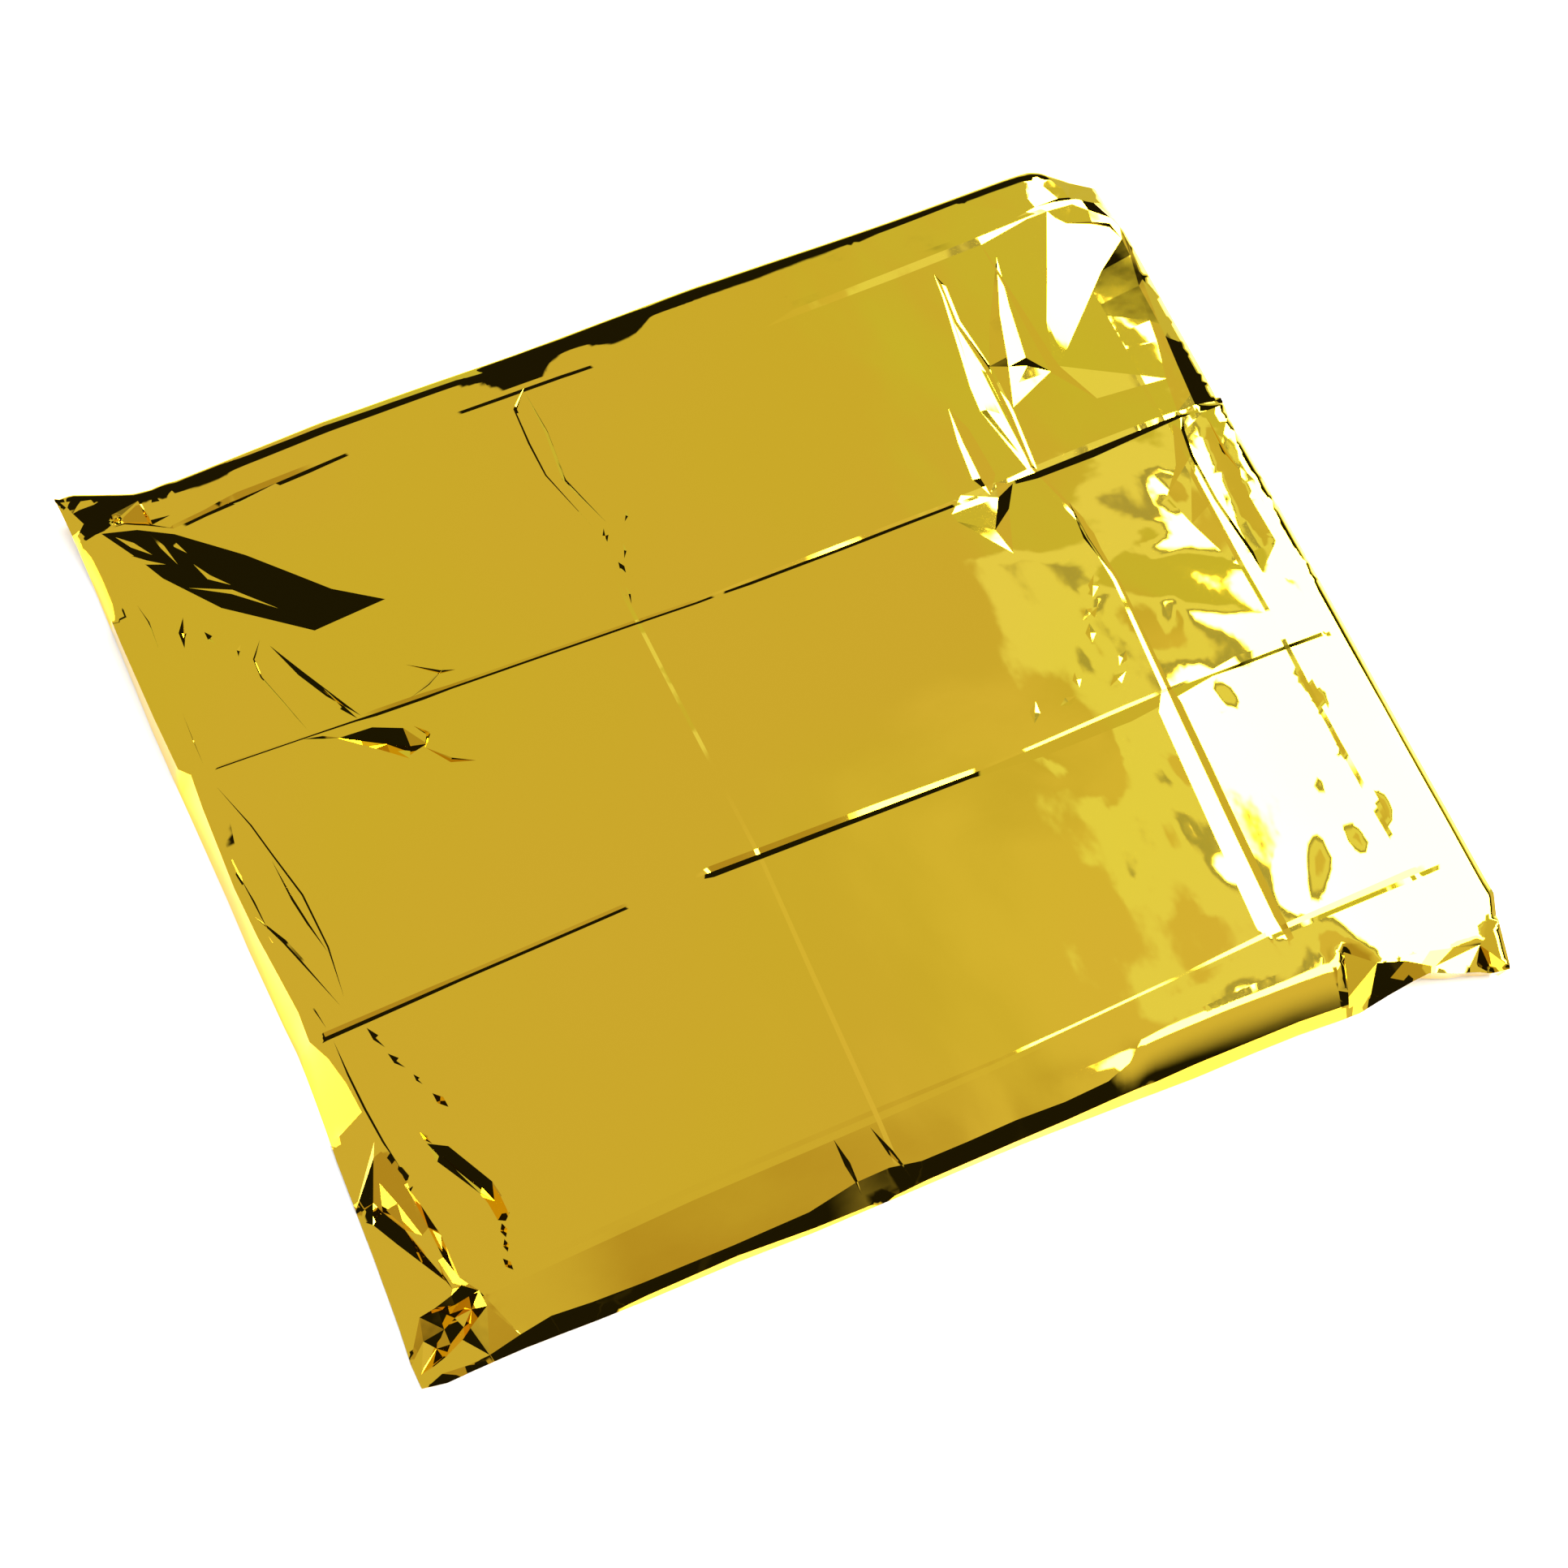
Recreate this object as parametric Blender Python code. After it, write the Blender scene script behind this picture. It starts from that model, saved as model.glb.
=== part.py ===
"""Emergency foil blanket, partly unfolded into a flat packet about 335 x 283 mm.

One continuous sheet of gold metallised film, folded back and forth: a bottom layer on the floor,
four straight inner layers and a creased top layer. The top layer rolls round the south edge into
the bottom layer, folds under at the north edge, and is turned down at the west and east sides.
The pressed films of each layer are modelled as one thick film.

Sizes are in millimetres, measured from the crossing of the middle creases, and become metres when
the mesh is made. X runs along the long side of a panel, Y along its short side, Z up. The origin
is at the middle of the underside.
"""
import math

import bmesh
import bpy
import numpy as np

MM = 0.001

# ---------------------------------------------------------------- driving dimensions
CROSSING = (-30.91, -26.76)    # the middle creases' crossing, in the part's own frame
FILM = 1.0                     # thickness of a layer of pressed films
LAYER_PITCH = 1.6              # from one inner layer to the next
INNER_LAYERS = 4
BOTTOM_Z = FILM / 2            # mid-surface of the bottom layer, which lies on the floor
TOP_Z = 11.0                   # mid-surface of the top layer
FOLD_BEND_STEPS = 5            # facets of an inner fold and of the north fold
ROLL_STEPS = 8                 # facets of the south roll
CREASE_HALF = 3.0              # half width of a crease
CELL = 13.0                    # largest facet of a panel of the top layer
BORDER_CELL = 5.0              # the same of the north and south strips
EAST_CELL = 7.0                # the same of the strip east of crease d
SKIRT_STEPS = 4                # facets of a turned-down side
SIDE_FADE = 9.0                # creases and relief fade over this width at the sides
LEAST_TURN_DOWN = 0.4          # the foot of a turned side lies at least this far below its fold

# Creases across the packet: x where they meet the south roll and the north edge, and their depth.
ACROSS = (
    # name,    south,  north, depth
    ("b",        1.0,   -3.6,   0.5),
    ("c",      128.0,  132.0,   0.8),
    ("d",      177.0,  176.5,  -0.7),
)
# Creases along the packet: y at its west and east side, and their depth.
ALONG = (
    # name,    west,   east, depth
    ("r3",    -80.9,  -80.7,  -0.4),
    ("r2",     -4.0,   -3.5,   0.8),
    ("r1",     76.0,   73.0,   0.8),
    ("r0",    152.6,  152.0,   0.7),
)
# The sides, by the row of the top layer: where it turns down, the foot of the turned part and how
# far south the foot slips, how round the turn is from 0, flat, to 1, and how much of the way down
# it reaches. At the south-west the wall leans out and stays open towards the end of the roll.
WEST_SIDE = (
    # row y, fold x, foot x, foot z, slip, round, reach
    (-96.0, -119.0, -122.5,   8.0,   0.0,   0.2,   0.10),
    (-88.0, -115.0, -120.0,   7.0,  -1.0,   0.2,   0.10),
    (-83.8, -114.0, -133.8,   1.4,  -8.0,   0.2,   0.30),
    (-80.8, -115.4, -135.6,   1.2,  -8.0,   0.1,   1.00),
    (-77.8, -116.6, -136.0,   1.2,  -5.0,   0.1,   1.00),
    (-46.0, -126.5, -134.4,   1.4,  -1.0,   0.5,   1.00),
    ( -4.0, -130.2, -132.8,   1.4,   0.0,   1.0,   1.00),
    ( 76.0, -131.4, -133.4,   1.4,   0.0,   1.0,   1.00),
    (140.0, -132.0, -134.2,   2.0,   0.0,   1.0,   1.00),
    (155.0, -134.0, -135.4,   6.5,   0.0,   1.0,   0.60),
    (163.0, -136.4, -137.0,   8.6,   0.0,   1.0,   0.10),
)
EAST_SIDE = (
    (-96.0,  194.6,  195.0,   2.4,   0.0,   0.5,   0.10),
    (-91.0,  198.2,  198.8,   2.0,   0.0,   0.5,   0.20),
    (-86.0,  197.4,  198.4,   2.0,   0.0,   0.5,   0.50),
    (-80.8,  195.2,  196.8,   1.6,   0.0,   1.0,   1.00),
    ( -4.0,  195.6,  197.2,   1.4,   0.0,   1.0,   1.00),
    ( 72.0,  196.4,  197.6,   1.4,   0.0,   1.0,   1.00),
    ( 98.0,  192.6,  194.2,   1.4,   0.0,   1.0,   1.00),
    (134.0,  194.0,  195.4,   1.6,   0.0,   1.0,   1.00),
    (140.0,  196.2,  197.4,   2.4,   0.0,   1.0,   1.00),
    (152.0,  196.6,  197.4,   5.5,   0.0,   1.0,   0.60),
    (163.0,  196.4,  197.0,   8.6,   0.0,   1.0,   0.10),
)
# North edge of the top layer: the ear at the west, the long edge, the corner cut off at the east.
NORTH_EDGE = (
    # x,     y,      drop
    (-136.4, 165.2,  1.2),
    (-120.0, 158.4,  0.9),
    (-105.0, 157.8,  0.9),
    ( -60.0, 161.8,  1.1),
    (   0.0, 163.0,  1.3),
    (  45.0, 166.0,  1.2),
    ( 120.0, 165.0,  0.9),
    ( 177.0, 166.2,  0.9),
    ( 196.4, 156.6,  1.0),
)
# South edge: where the roll starts, and how far the top layer has dropped there. At the east the
# roll is pinched flat into a pointed ear behind a notch.
SOUTH_EDGE = (
    # x,     y,      drop
    (-119.0,  -92.4, 0.8),
    ( -66.0,  -97.3, 0.7),
    (   0.0,  -99.1, 0.7),
    (  68.0, -101.7, 0.7),
    ( 149.0, -106.2, 1.4),
    ( 157.0, -102.6, 4.0),
    ( 166.0, -102.0, 6.2),
    ( 180.0, -108.6, 7.0),
    ( 194.6, -112.8, 7.6),
)
ROLL_WEST_X = -135.0           # the roll's open west end, where it meets the floor
ROLL_EAST_X = 193.8
# Straight inner layers and the bottom layer, inside the turned-down sides.
INNER_WEST_X = -112.0
INNER_WEST_NORTH_X = -127.0
INNER_EAST_X = 191.5
INNER_NORTH_Y = 149.0
INNER_SOUTH_Y = -86.0
BOTTOM_WEST_X = -129.6
BOTTOM_NORTH_Y = 150.5
TAPER = 13.0                   # length over which a layer narrows behind a fold

# Dents (negative) and ridges of the top layer, each a lens along its own heading.
RELIEF = (
    # name,               x,      y, half length, half width, heading, height
    ("corner almond",   -97.0,  126.0,   42.0,   13.0,   -35.0,  -1.6),
    ("lens west 1",     -94.0,   91.0,   19.0,    7.0,   -63.0,  -1.2),
    ("lens west 2",    -122.0,   40.0,   36.0,    7.0,   -82.0,  -1.2),
    ("bow",             -77.0,   63.0,   20.0,    8.0,   -38.0,   1.0),
    ("slash",          -108.0,  -58.0,   21.0,    6.0,   -84.0,  -1.1),
    ("lens middle",      -2.0,  130.0,   25.0,    7.0,   -86.0,  -1.2),
    ("north ridge",     100.0,  149.5,   34.0,    8.0,     3.0,   1.3),
    ("tent",            128.0,  110.0,   38.0,    8.0,   -88.0,   2.2),
    ("peak",            142.0,  120.0,   25.0,    8.0,    65.0,   1.8),
    ("corner facet",    173.0,  125.0,   28.0,   12.0,    58.0,  -1.3),
    ("crumple",         110.0,   66.0,   16.0,   10.0,   -20.0,   1.5),
    ("east dome",       166.0,   18.0,   34.0,   16.0,   -35.0,   1.5),
    ("side dent",       184.0,   48.0,   30.0,    8.0,    88.0,  -1.0),
    ("south swell",      90.0,  -92.0,   50.0,    8.0,    -4.0,   0.8),
)
# Slow unevenness of the whole top layer.
SWELL_HEIGHT = 0.45
SWELL_LENGTH = (118.0, 92.0)


# ---------------------------------------------------------------- small helpers
def column(table, key, index, at=0):
    """The value of one column of a table, read at `key` along another."""
    return np.interp(key, [row[at] for row in table], [row[index] for row in table])


def smooth(value):
    """0 below 0, 1 above 1, with a soft start and end."""
    value = np.clip(value, 0.0, 1.0)
    return value * value * (3.0 - 2.0 * value)


def stations(lines, cells):
    """Places between the first and last of `lines`, no further apart than `cells` says for each
    stretch, and close together at each crease."""
    places = [lines[0]]
    for start, end, cell in zip(lines[:-1], lines[1:], cells):
        low = start + (CREASE_HALF if start != lines[0] else 0.0)
        high = end - (CREASE_HALF if end != lines[-1] else 0.0)
        count = max(1, math.ceil((high - low) / cell))
        places += [low + (high - low) * step / count for step in range(count + 1)]
        places.append(end)
    return np.unique(np.round(places, 3))


# ---------------------------------------------------------------- the top layer
ACROSS_MIDDLE = [(south + north) / 2 for _, south, north, _ in ACROSS]
ALONG_MIDDLE = [(west + east) / 2 for _, west, east, _ in ALONG]
NOMINAL_X = [-131.0] + ACROSS_MIDDLE + [196.0]
NOMINAL_Y = [-96.0] + ALONG_MIDDLE + [163.0]
TOP_COLUMNS = stations(NOMINAL_X, (CELL, CELL, CELL, EAST_CELL))
TOP_ROWS = stations(NOMINAL_Y, (BORDER_CELL, CELL, CELL, CELL, BORDER_CELL))
WEST_PART = SKIRT_STEPS + int(np.searchsorted(TOP_COLUMNS, NOMINAL_X[1] - CREASE_HALF)) + 1
EAST_PART = SKIRT_STEPS + int(np.searchsorted(TOP_COLUMNS, NOMINAL_X[3] + CREASE_HALF))


def crease_profile(distance):
    """1 on a crease, falling to 0 at its half width."""
    return np.clip(1.0 - np.abs(distance) / CREASE_HALF, 0.0, 1.0)


def relief(x, y):
    """Height of the dents and ridges and of the slow swell at a point of the top layer."""
    height = SWELL_HEIGHT * np.sin(2 * math.pi * x / SWELL_LENGTH[0]) \
        * np.cos(2 * math.pi * y / SWELL_LENGTH[1])
    for _, centre_x, centre_y, half_length, half_width, heading, rise in RELIEF:
        turn = math.radians(heading)
        along = (x - centre_x) * math.cos(turn) + (y - centre_y) * math.sin(turn)
        aside = (y - centre_y) * math.cos(turn) - (x - centre_x) * math.sin(turn)
        inside = np.clip(1.0 - (along / half_length) ** 2 - (aside / half_width) ** 2, 0.0, 1.0)
        height = height + rise * inside
    return height


def top_row(nominal_y):
    """Points of the top layer between its sides, for one row."""
    x_south_north = [[south, north] for _, south, north, _ in ACROSS]
    lean = (nominal_y - NOMINAL_Y[0]) / (NOMINAL_Y[-1] - NOMINAL_Y[0])
    folds = [column(WEST_SIDE, nominal_y, 1)]
    folds += [south + (north - south) * lean for south, north in x_south_north]
    folds += [column(EAST_SIDE, nominal_y, 1)]
    x = np.interp(TOP_COLUMNS, NOMINAL_X, folds)
    across = (x - NOMINAL_X[0]) / (NOMINAL_X[-1] - NOMINAL_X[0])
    lines = [column(SOUTH_EDGE, x, 1)]
    lines += [west + (east - west) * across for _, west, east, _ in ALONG]
    lines += [column(NORTH_EDGE, x, 1)]
    y = np.array([np.interp(nominal_y, NOMINAL_Y, [line[i] for line in lines]) for i in range(len(x))])
    z = np.full(len(x), TOP_Z)
    south_part = (NOMINAL_Y[1] - nominal_y) / (NOMINAL_Y[1] - NOMINAL_Y[0])
    north_part = (nominal_y - NOMINAL_Y[-2]) / (NOMINAL_Y[-1] - NOMINAL_Y[-2])
    z -= column(SOUTH_EDGE, x, 2) * smooth(south_part)
    z -= column(NORTH_EDGE, x, 2) * smooth(north_part)
    border = smooth(np.minimum(1.0 - south_part, 1.0 - north_part))
    inland = smooth(np.minimum(x - folds[0], folds[-1] - x) / SIDE_FADE)
    for (_, _, _, depth), line in zip(ALONG, lines[1:-1]):
        z -= depth * crease_profile(y - line) * inland
    for (_, _, _, depth), fold in zip(ACROSS, folds[1:-1]):
        z -= depth * crease_profile(x - fold) * border
    z += relief(x, y) * border * inland
    return np.column_stack([x, y, z])


def skirt(edge, side, nominal_y):
    """Points down a turned side, from the fold at `edge` to the foot."""
    foot_x, foot_z, slip, fullness, reach = (column(side, nominal_y, index) for index in range(2, 7))
    foot_z = min(foot_z, edge[2] - LEAST_TURN_DOWN)
    foot = edge + (np.array([foot_x, edge[1] + slip, foot_z]) - edge) * reach
    middle = (edge + foot) / 2
    shoulder = np.array([foot[0], edge[1], edge[2]])
    bend = middle + (shoulder - middle) * fullness
    points = []
    for step in range(1, SKIRT_STEPS + 1):
        t = step / SKIRT_STEPS
        points.append((1 - t) ** 2 * edge + 2 * t * (1 - t) * bend + t * t * foot)
    return points


def run_length(points):
    """Length along a row up to each of its points."""
    steps = np.linalg.norm(np.diff(points, axis=0), axis=1)
    return np.concatenate([[0.0], np.cumsum(steps)])


def whole_top_row(nominal_y, shares=None):
    """A row of the top layer with its turned-down sides, from the west foot to the east foot.

    Outside the creases b and d the points keep `shares`, their part of the way from the crease to
    the foot, so that a side that isn't turned down far still has even facets.
    """
    row = top_row(nominal_y)
    west = skirt(row[0], WEST_SIDE, nominal_y)
    east = skirt(row[-1], EAST_SIDE, nominal_y)
    points = np.array(west[::-1] + list(row) + east)
    parts = np.split(points, [WEST_PART, EAST_PART])
    if shares is None:
        return [run_length(part) / run_length(part)[-1] for part in (parts[0], parts[2])]
    for index, share in ((0, shares[0]), (2, shares[1])):
        length = run_length(parts[index])
        parts[index] = np.column_stack(
            [np.interp(share * length[-1], length, axis) for axis in parts[index].T])
    return np.concatenate(parts)


# ---------------------------------------------------------------- folds, roll and flat layers
def spread(shares, west_x, east_x, y, z):
    """A straight row whose points lie between two sides as `shares` of the way."""
    x = west_x + (east_x - west_x) * shares
    return np.column_stack([x, np.broadcast_to(y, x.shape), np.broadcast_to(z, x.shape)])


def roll_rows(top_edge):
    """The roll round the south edge, from the top layer's last row down to the bottom layer."""
    rows = []
    west_x, east_x = top_edge[0, 0], top_edge[-1, 0]
    floor_x = ROLL_WEST_X + (top_edge[:, 0] - west_x) / (east_x - west_x) * (ROLL_EAST_X - ROLL_WEST_X)
    radius = (top_edge[:, 2] - BOTTOM_Z) / 2
    for step in range(1, ROLL_STEPS + 1):
        turn = math.pi * step / ROLL_STEPS
        x = top_edge[:, 0] + (floor_x - top_edge[:, 0]) * (1 - math.cos(turn)) / 2
        y = top_edge[:, 1] - radius * math.sin(turn)
        z = BOTTOM_Z + radius * (1 + math.cos(turn))
        rows.append(np.column_stack([x, y, z]))
    return rows


def bend_rows(start, end, outward):
    """A half-round fold from row `start` to row `end`, bulging along Y by `outward` radii."""
    rows = []
    radius = np.abs(start[:, 2] - end[:, 2]) / 2
    for step in range(1, FOLD_BEND_STEPS):
        turn = math.pi * step / FOLD_BEND_STEPS
        share = (1 - math.cos(turn)) / 2
        row = start + (end - start) * share
        row[:, 1] += outward * radius * math.sin(turn)
        rows.append(row)
    return rows


def sheet_rows():
    """Every row of the sheet, from its free inner end to the free end of the bottom layer."""
    side_shares = whole_top_row(NOMINAL_Y[2])
    top = [whole_top_row(nominal_y, side_shares) for nominal_y in TOP_ROWS]
    length = run_length(top[len(top) // 2])
    shares = length / length[-1]

    def inner(level, y):
        z = BOTTOM_Z + LAYER_PITCH * level
        west_x = INNER_WEST_X + (INNER_WEST_NORTH_X - INNER_WEST_X) \
            * smooth((y - INNER_SOUTH_Y) / (INNER_NORTH_Y - INNER_SOUTH_Y))
        return spread(shares, west_x, INNER_EAST_X, y, z)

    rows = [inner(1, INNER_NORTH_Y)]
    for level in range(1, INNER_LAYERS):
        end_y = INNER_SOUTH_Y if level % 2 else INNER_NORTH_Y
        outward = -1 if level % 2 else 1
        start, end = inner(level, end_y), inner(level + 1, end_y)
        rows += [start] + bend_rows(start, end, outward) + [end]
    north = top[-1]
    under = north.copy()
    under[:, 2] = BOTTOM_Z + LAYER_PITCH * INNER_LAYERS
    rows.append(inner(INNER_LAYERS, INNER_NORTH_Y))
    rows += [under] + bend_rows(under, north, 1) + top[::-1]
    rows += roll_rows(top[0])
    floor_y = rows[-1][:, 1].max() + TAPER
    rows.append(spread(shares, BOTTOM_WEST_X, INNER_EAST_X, floor_y, BOTTOM_Z))
    rows.append(spread(shares, BOTTOM_WEST_X, INNER_EAST_X, BOTTOM_NORTH_Y, BOTTOM_Z))
    return rows


# ---------------------------------------------------------------- objects
def foil_material():
    """Gold metallised film: a smooth, bright metal."""
    material = bpy.data.materials.new("gold_foil")
    material.use_nodes = True
    shader = material.node_tree.nodes["Principled BSDF"]
    shader.inputs["Base Color"].default_value = (0.80, 0.56, 0.10, 1.0)
    shader.inputs["Metallic"].default_value = 1.0
    shader.inputs["Roughness"].default_value = 0.12
    return material


def foil_blanket():
    """The blanket: one sheet through all its folds, given its thickness by Solidify."""
    rows = sheet_rows()
    sheet = bmesh.new()
    shift = np.array([CROSSING[0], CROSSING[1], 0.0])
    grid = [[sheet.verts.new((point + shift) * MM) for point in row] for row in rows]
    for row, following in zip(grid[:-1], grid[1:]):
        for i in range(len(row) - 1):
            sheet.faces.new((row[i], row[i + 1], following[i + 1], following[i]))
    mesh = bpy.data.meshes.new("foil_blanket")
    sheet.to_mesh(mesh)
    sheet.free()
    blanket = bpy.data.objects.new("foil_blanket", mesh)
    bpy.context.collection.objects.link(blanket)
    mesh.materials.append(foil_material())
    mesh.shade_smooth()
    thickness = blanket.modifiers.new("film", "SOLIDIFY")
    thickness.thickness = FILM * MM
    thickness.offset = 0.0
    thickness.use_even_offset = True
    thickness.use_quality_normals = True
    return blanket


def main():
    for thing in list(bpy.data.objects):
        bpy.data.objects.remove(thing, do_unlink=True)
    foil_blanket()


main()
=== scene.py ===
"""Emergency foil blanket, partly unfolded into a flat packet, on a pale studio floor.

The blanket is one thin sheet on the folds of its solid: straight inner layers, a creased top layer
with its turned-down sides, the roll round the south edge and the bottom layer on the floor.

Sizes of the sheet are in millimetres from the crossing of the middle creases, on the floor's level,
and become metres when the mesh is made. X runs along the long side of a panel, Y along its short
side, Z up.
"""
import math

import bpy
import numpy as np
from bpy.props import FloatProperty, FloatVectorProperty, PointerProperty
from mathutils import Matrix, Vector
from mathutils.geometry import delaunay_2d_cdt


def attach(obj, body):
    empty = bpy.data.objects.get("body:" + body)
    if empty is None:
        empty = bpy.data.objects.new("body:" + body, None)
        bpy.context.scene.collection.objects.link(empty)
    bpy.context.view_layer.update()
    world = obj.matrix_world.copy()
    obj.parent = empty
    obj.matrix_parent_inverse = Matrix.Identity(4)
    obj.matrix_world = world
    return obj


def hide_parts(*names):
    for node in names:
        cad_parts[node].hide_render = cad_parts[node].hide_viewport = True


bl_info = {
    "name": "Foil Blanket",
    "version": (1, 0, 0),
    "blender": (4, 5, 0),
    "location": "View3D > Sidebar > Foil",
    "description": "Builds a partly unfolded gold foil blanket and a pale studio round it",
    "category": "Add Mesh",
}

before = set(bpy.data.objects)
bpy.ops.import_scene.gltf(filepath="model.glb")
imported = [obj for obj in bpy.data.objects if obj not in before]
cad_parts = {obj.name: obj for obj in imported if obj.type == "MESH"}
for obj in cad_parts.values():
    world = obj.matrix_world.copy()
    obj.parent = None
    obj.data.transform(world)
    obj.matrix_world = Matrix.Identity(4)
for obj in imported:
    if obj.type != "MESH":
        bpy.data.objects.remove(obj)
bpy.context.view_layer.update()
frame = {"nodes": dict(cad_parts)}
(BLANKET_NODE,) = frame["nodes"]    # the part is one node
MM = 0.001

# ---------------------------------------------------------------- the sheet's own sizes
CROSSING = (-30.91, -26.76)    # the middle creases' crossing, in the part's own frame
TOP_Z = 11.5                   # the top layer, where it is flat
FLOOR_Z = 0.1                  # the bottom layer
LAYER_PITCH = 1.6              # from one inner layer to the next
INNER_LAYERS = 4

# Creases across the packet: their x at places y along them.
ACROSS = (
    ("b", ((-96, 0), (-5, 2), (75, -1), (163, -3.6))),
    ("c", ((-96, 132), (-76, 131), (-16, 134), (34, 137), (56, 136), (76, 130),
           (163, 131.5))),
    ("d", ((-96, 177), (163, 176.5))),
)
# Creases along the packet: their y at places x along them.
ALONG = (
    ("r3", ((-131, -81), (-55, -80.2), (37, -81.6), (126, -80.2), (196, -81.4))),
    ("r2", ((-131, -4.4), (-37, -2), (-13, -2), (73, -4), (135, -3), (196, -4))),
    ("r1", ((-131, 76), (-81, 75), (17, 73), (98, 74), (181, 76), (196, 75))),
    ("r0", ((-131, 152.6), (-111, 147), (-90, 149), (-55, 151.5), (10, 153.4),
            (75, 153), (176, 155.6), (196, 154))),
)
# How each crease is pressed along its length, as valleys (positive) or ridges (negative), with the
# width of the bank before it (to the south or west) and after it.
PRESS = {
    # place, depth, before, after
    "r0": ((-111, 0.1, 1, 1), (-101, 0.3, 1, 1), (-91, 0.9, 1.5, 1.7), (-84, 0.7, 1.4, 1.5),
           (-70, 0.34, 1.4, 1.2), (-57, 0.02, 1, 1), (-24, 0.02, 1, 1), (-10, 0.24, 1.2, 1.4),
           (12, 0.26, 1.2, 1.4), (20, 0.02, 1, 1), (60, 0, 1, 1), (176, 0, 1, 1)),
    "r1": ((-126, 0.08, 0.4, 0.4), (-100, 0.08, 0.4, 0.4), (-86, 0.06, 0.6, 0.6), (-80, 0.24, 1, 1),
           (-66, 0.34, 1, 1), (-58, 0.2, 0.7, 0.7), (-50, 0.16, 0.7, 0.7), (15, 0.16, 0.7, 0.7),
           (24, 0.04, 0.7, 0.7), (34, 0.24, 1, 1), (70, 0.28, 1.1, 1.1), (98, 0.18, 1, 1),
           (104, 0, 1, 1), (122, 0.06, 1.2, 1.2), (130, 0.4, 2.2, 1.8), (150, 0.5, 2.6, 2),
           (178, 0.26, 1.4, 1.4), (186, 0.06, 1, 1)),
    "r2": ((-128, 0.26, 1.2, 1.2), (-95, 0.22, 1, 1), (-88, 0.17, 0.9, 0.9), (-40, 0.17, 0.9, 0.9),
           (-35, 0.02, 0.9, 0.9), (-17, 0.02, 0.9, 0.9), (-13, 0.4, 1.7, 1.6), (40, 0.38, 1.5, 1.5),
           (68, 0.26, 1.3, 1.2), (77, 0.1, 2, 0.8), (90, 0.18, 3.4, 0.8), (120, 0.24, 4.2, 1),
           (135, 0.16, 3, 0.8), (150, 0.1, 0.8, 1), (160, 0.24, 1.2, 2.4), (176, 0.24, 1.2, 2),
           (190, 0.2, 1.4, 1.4)),
    "r3": ((-114, 0.1, 2, 1.6), (-60, 0.12, 2, 1.6), (0, 0.14, 2, 1.4), (60, 0.09, 1.4, 0.6),
           (100, 0.1, 1.4, 0.7), (130, 0.22, 1.4, 1.4), (176, 0.3, 1.6, 2), (190, 0.1, 1.4, 1.4)),
    "b": ((-95, 0.06, 1.4, 1.4), (-40, 0.08, 1.4, 1.4), (0, 0.06, 1.2, 1.2), (40, 0.1, 1.2, 1.2),
          (74, 0.12, 1.2, 1.2), (104, 0.04, 1.2, 1.2), (150, 0.02, 1, 1)),
    "c": ((-84, 0, 4, 2), (-78, 0.36, 6.5, 2.4), (-8, 0.4, 5.5, 2.4), (-2, 0.12, 1.6, 1.4),
          (36, 0.07, 1, 1), (60, 0.06, 1.2, 1.2), (74, 0.02, 1, 1), (150, 0, 1, 1)),
    "d": ((-95, -0.04, 1.6, 1.6), (0, -0.06, 1.6, 1.6), (40, -0.03, 1.6, 1.6), (150, 0, 1.6, 1.6)),
}
# How far from the north edge the top layer starts to turn down.
NORTH_RIM = (
    # x, width
    (-137, 1), (-111, 1), (-109, 1.6), (-99, 2.6), (-92, 2.6), (-87, 1.3),
    (-60, 1.7), (-20, 1.6), (-12, 2.8), (-7, 9), (4, 9.5), (9, 4.5), (15, 3),
    (21, 3.6), (29, 7.8), (37, 7.2), (42, 2.2), (60, 0.8), (120, 0.8), (170, 0.8),
    (180, 1.2), (197, 1.2),
)
# Heights of the crease crossings above the flat top: they tilt each panel a little.
CROSSING_HEIGHT = (
    # line, then its heights at the west side, b, c, d and the east side
    ("south", 0, -0.1, -0.2, -0.3, -0.3),
    ("r3", 0, 0.3, 0.3, 0.2, 0.1),
    ("r2", 0.1, -0.2, 0.3, 0.2, -0.1),
    ("r1", -0.2, 0.2, -0.2, 0.3, 0.1),
    ("r0", 0, 0.2, 0.1, 0.1, 0),
    ("north", 0, 0.1, 0.2, 0.2, 0),
)

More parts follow.
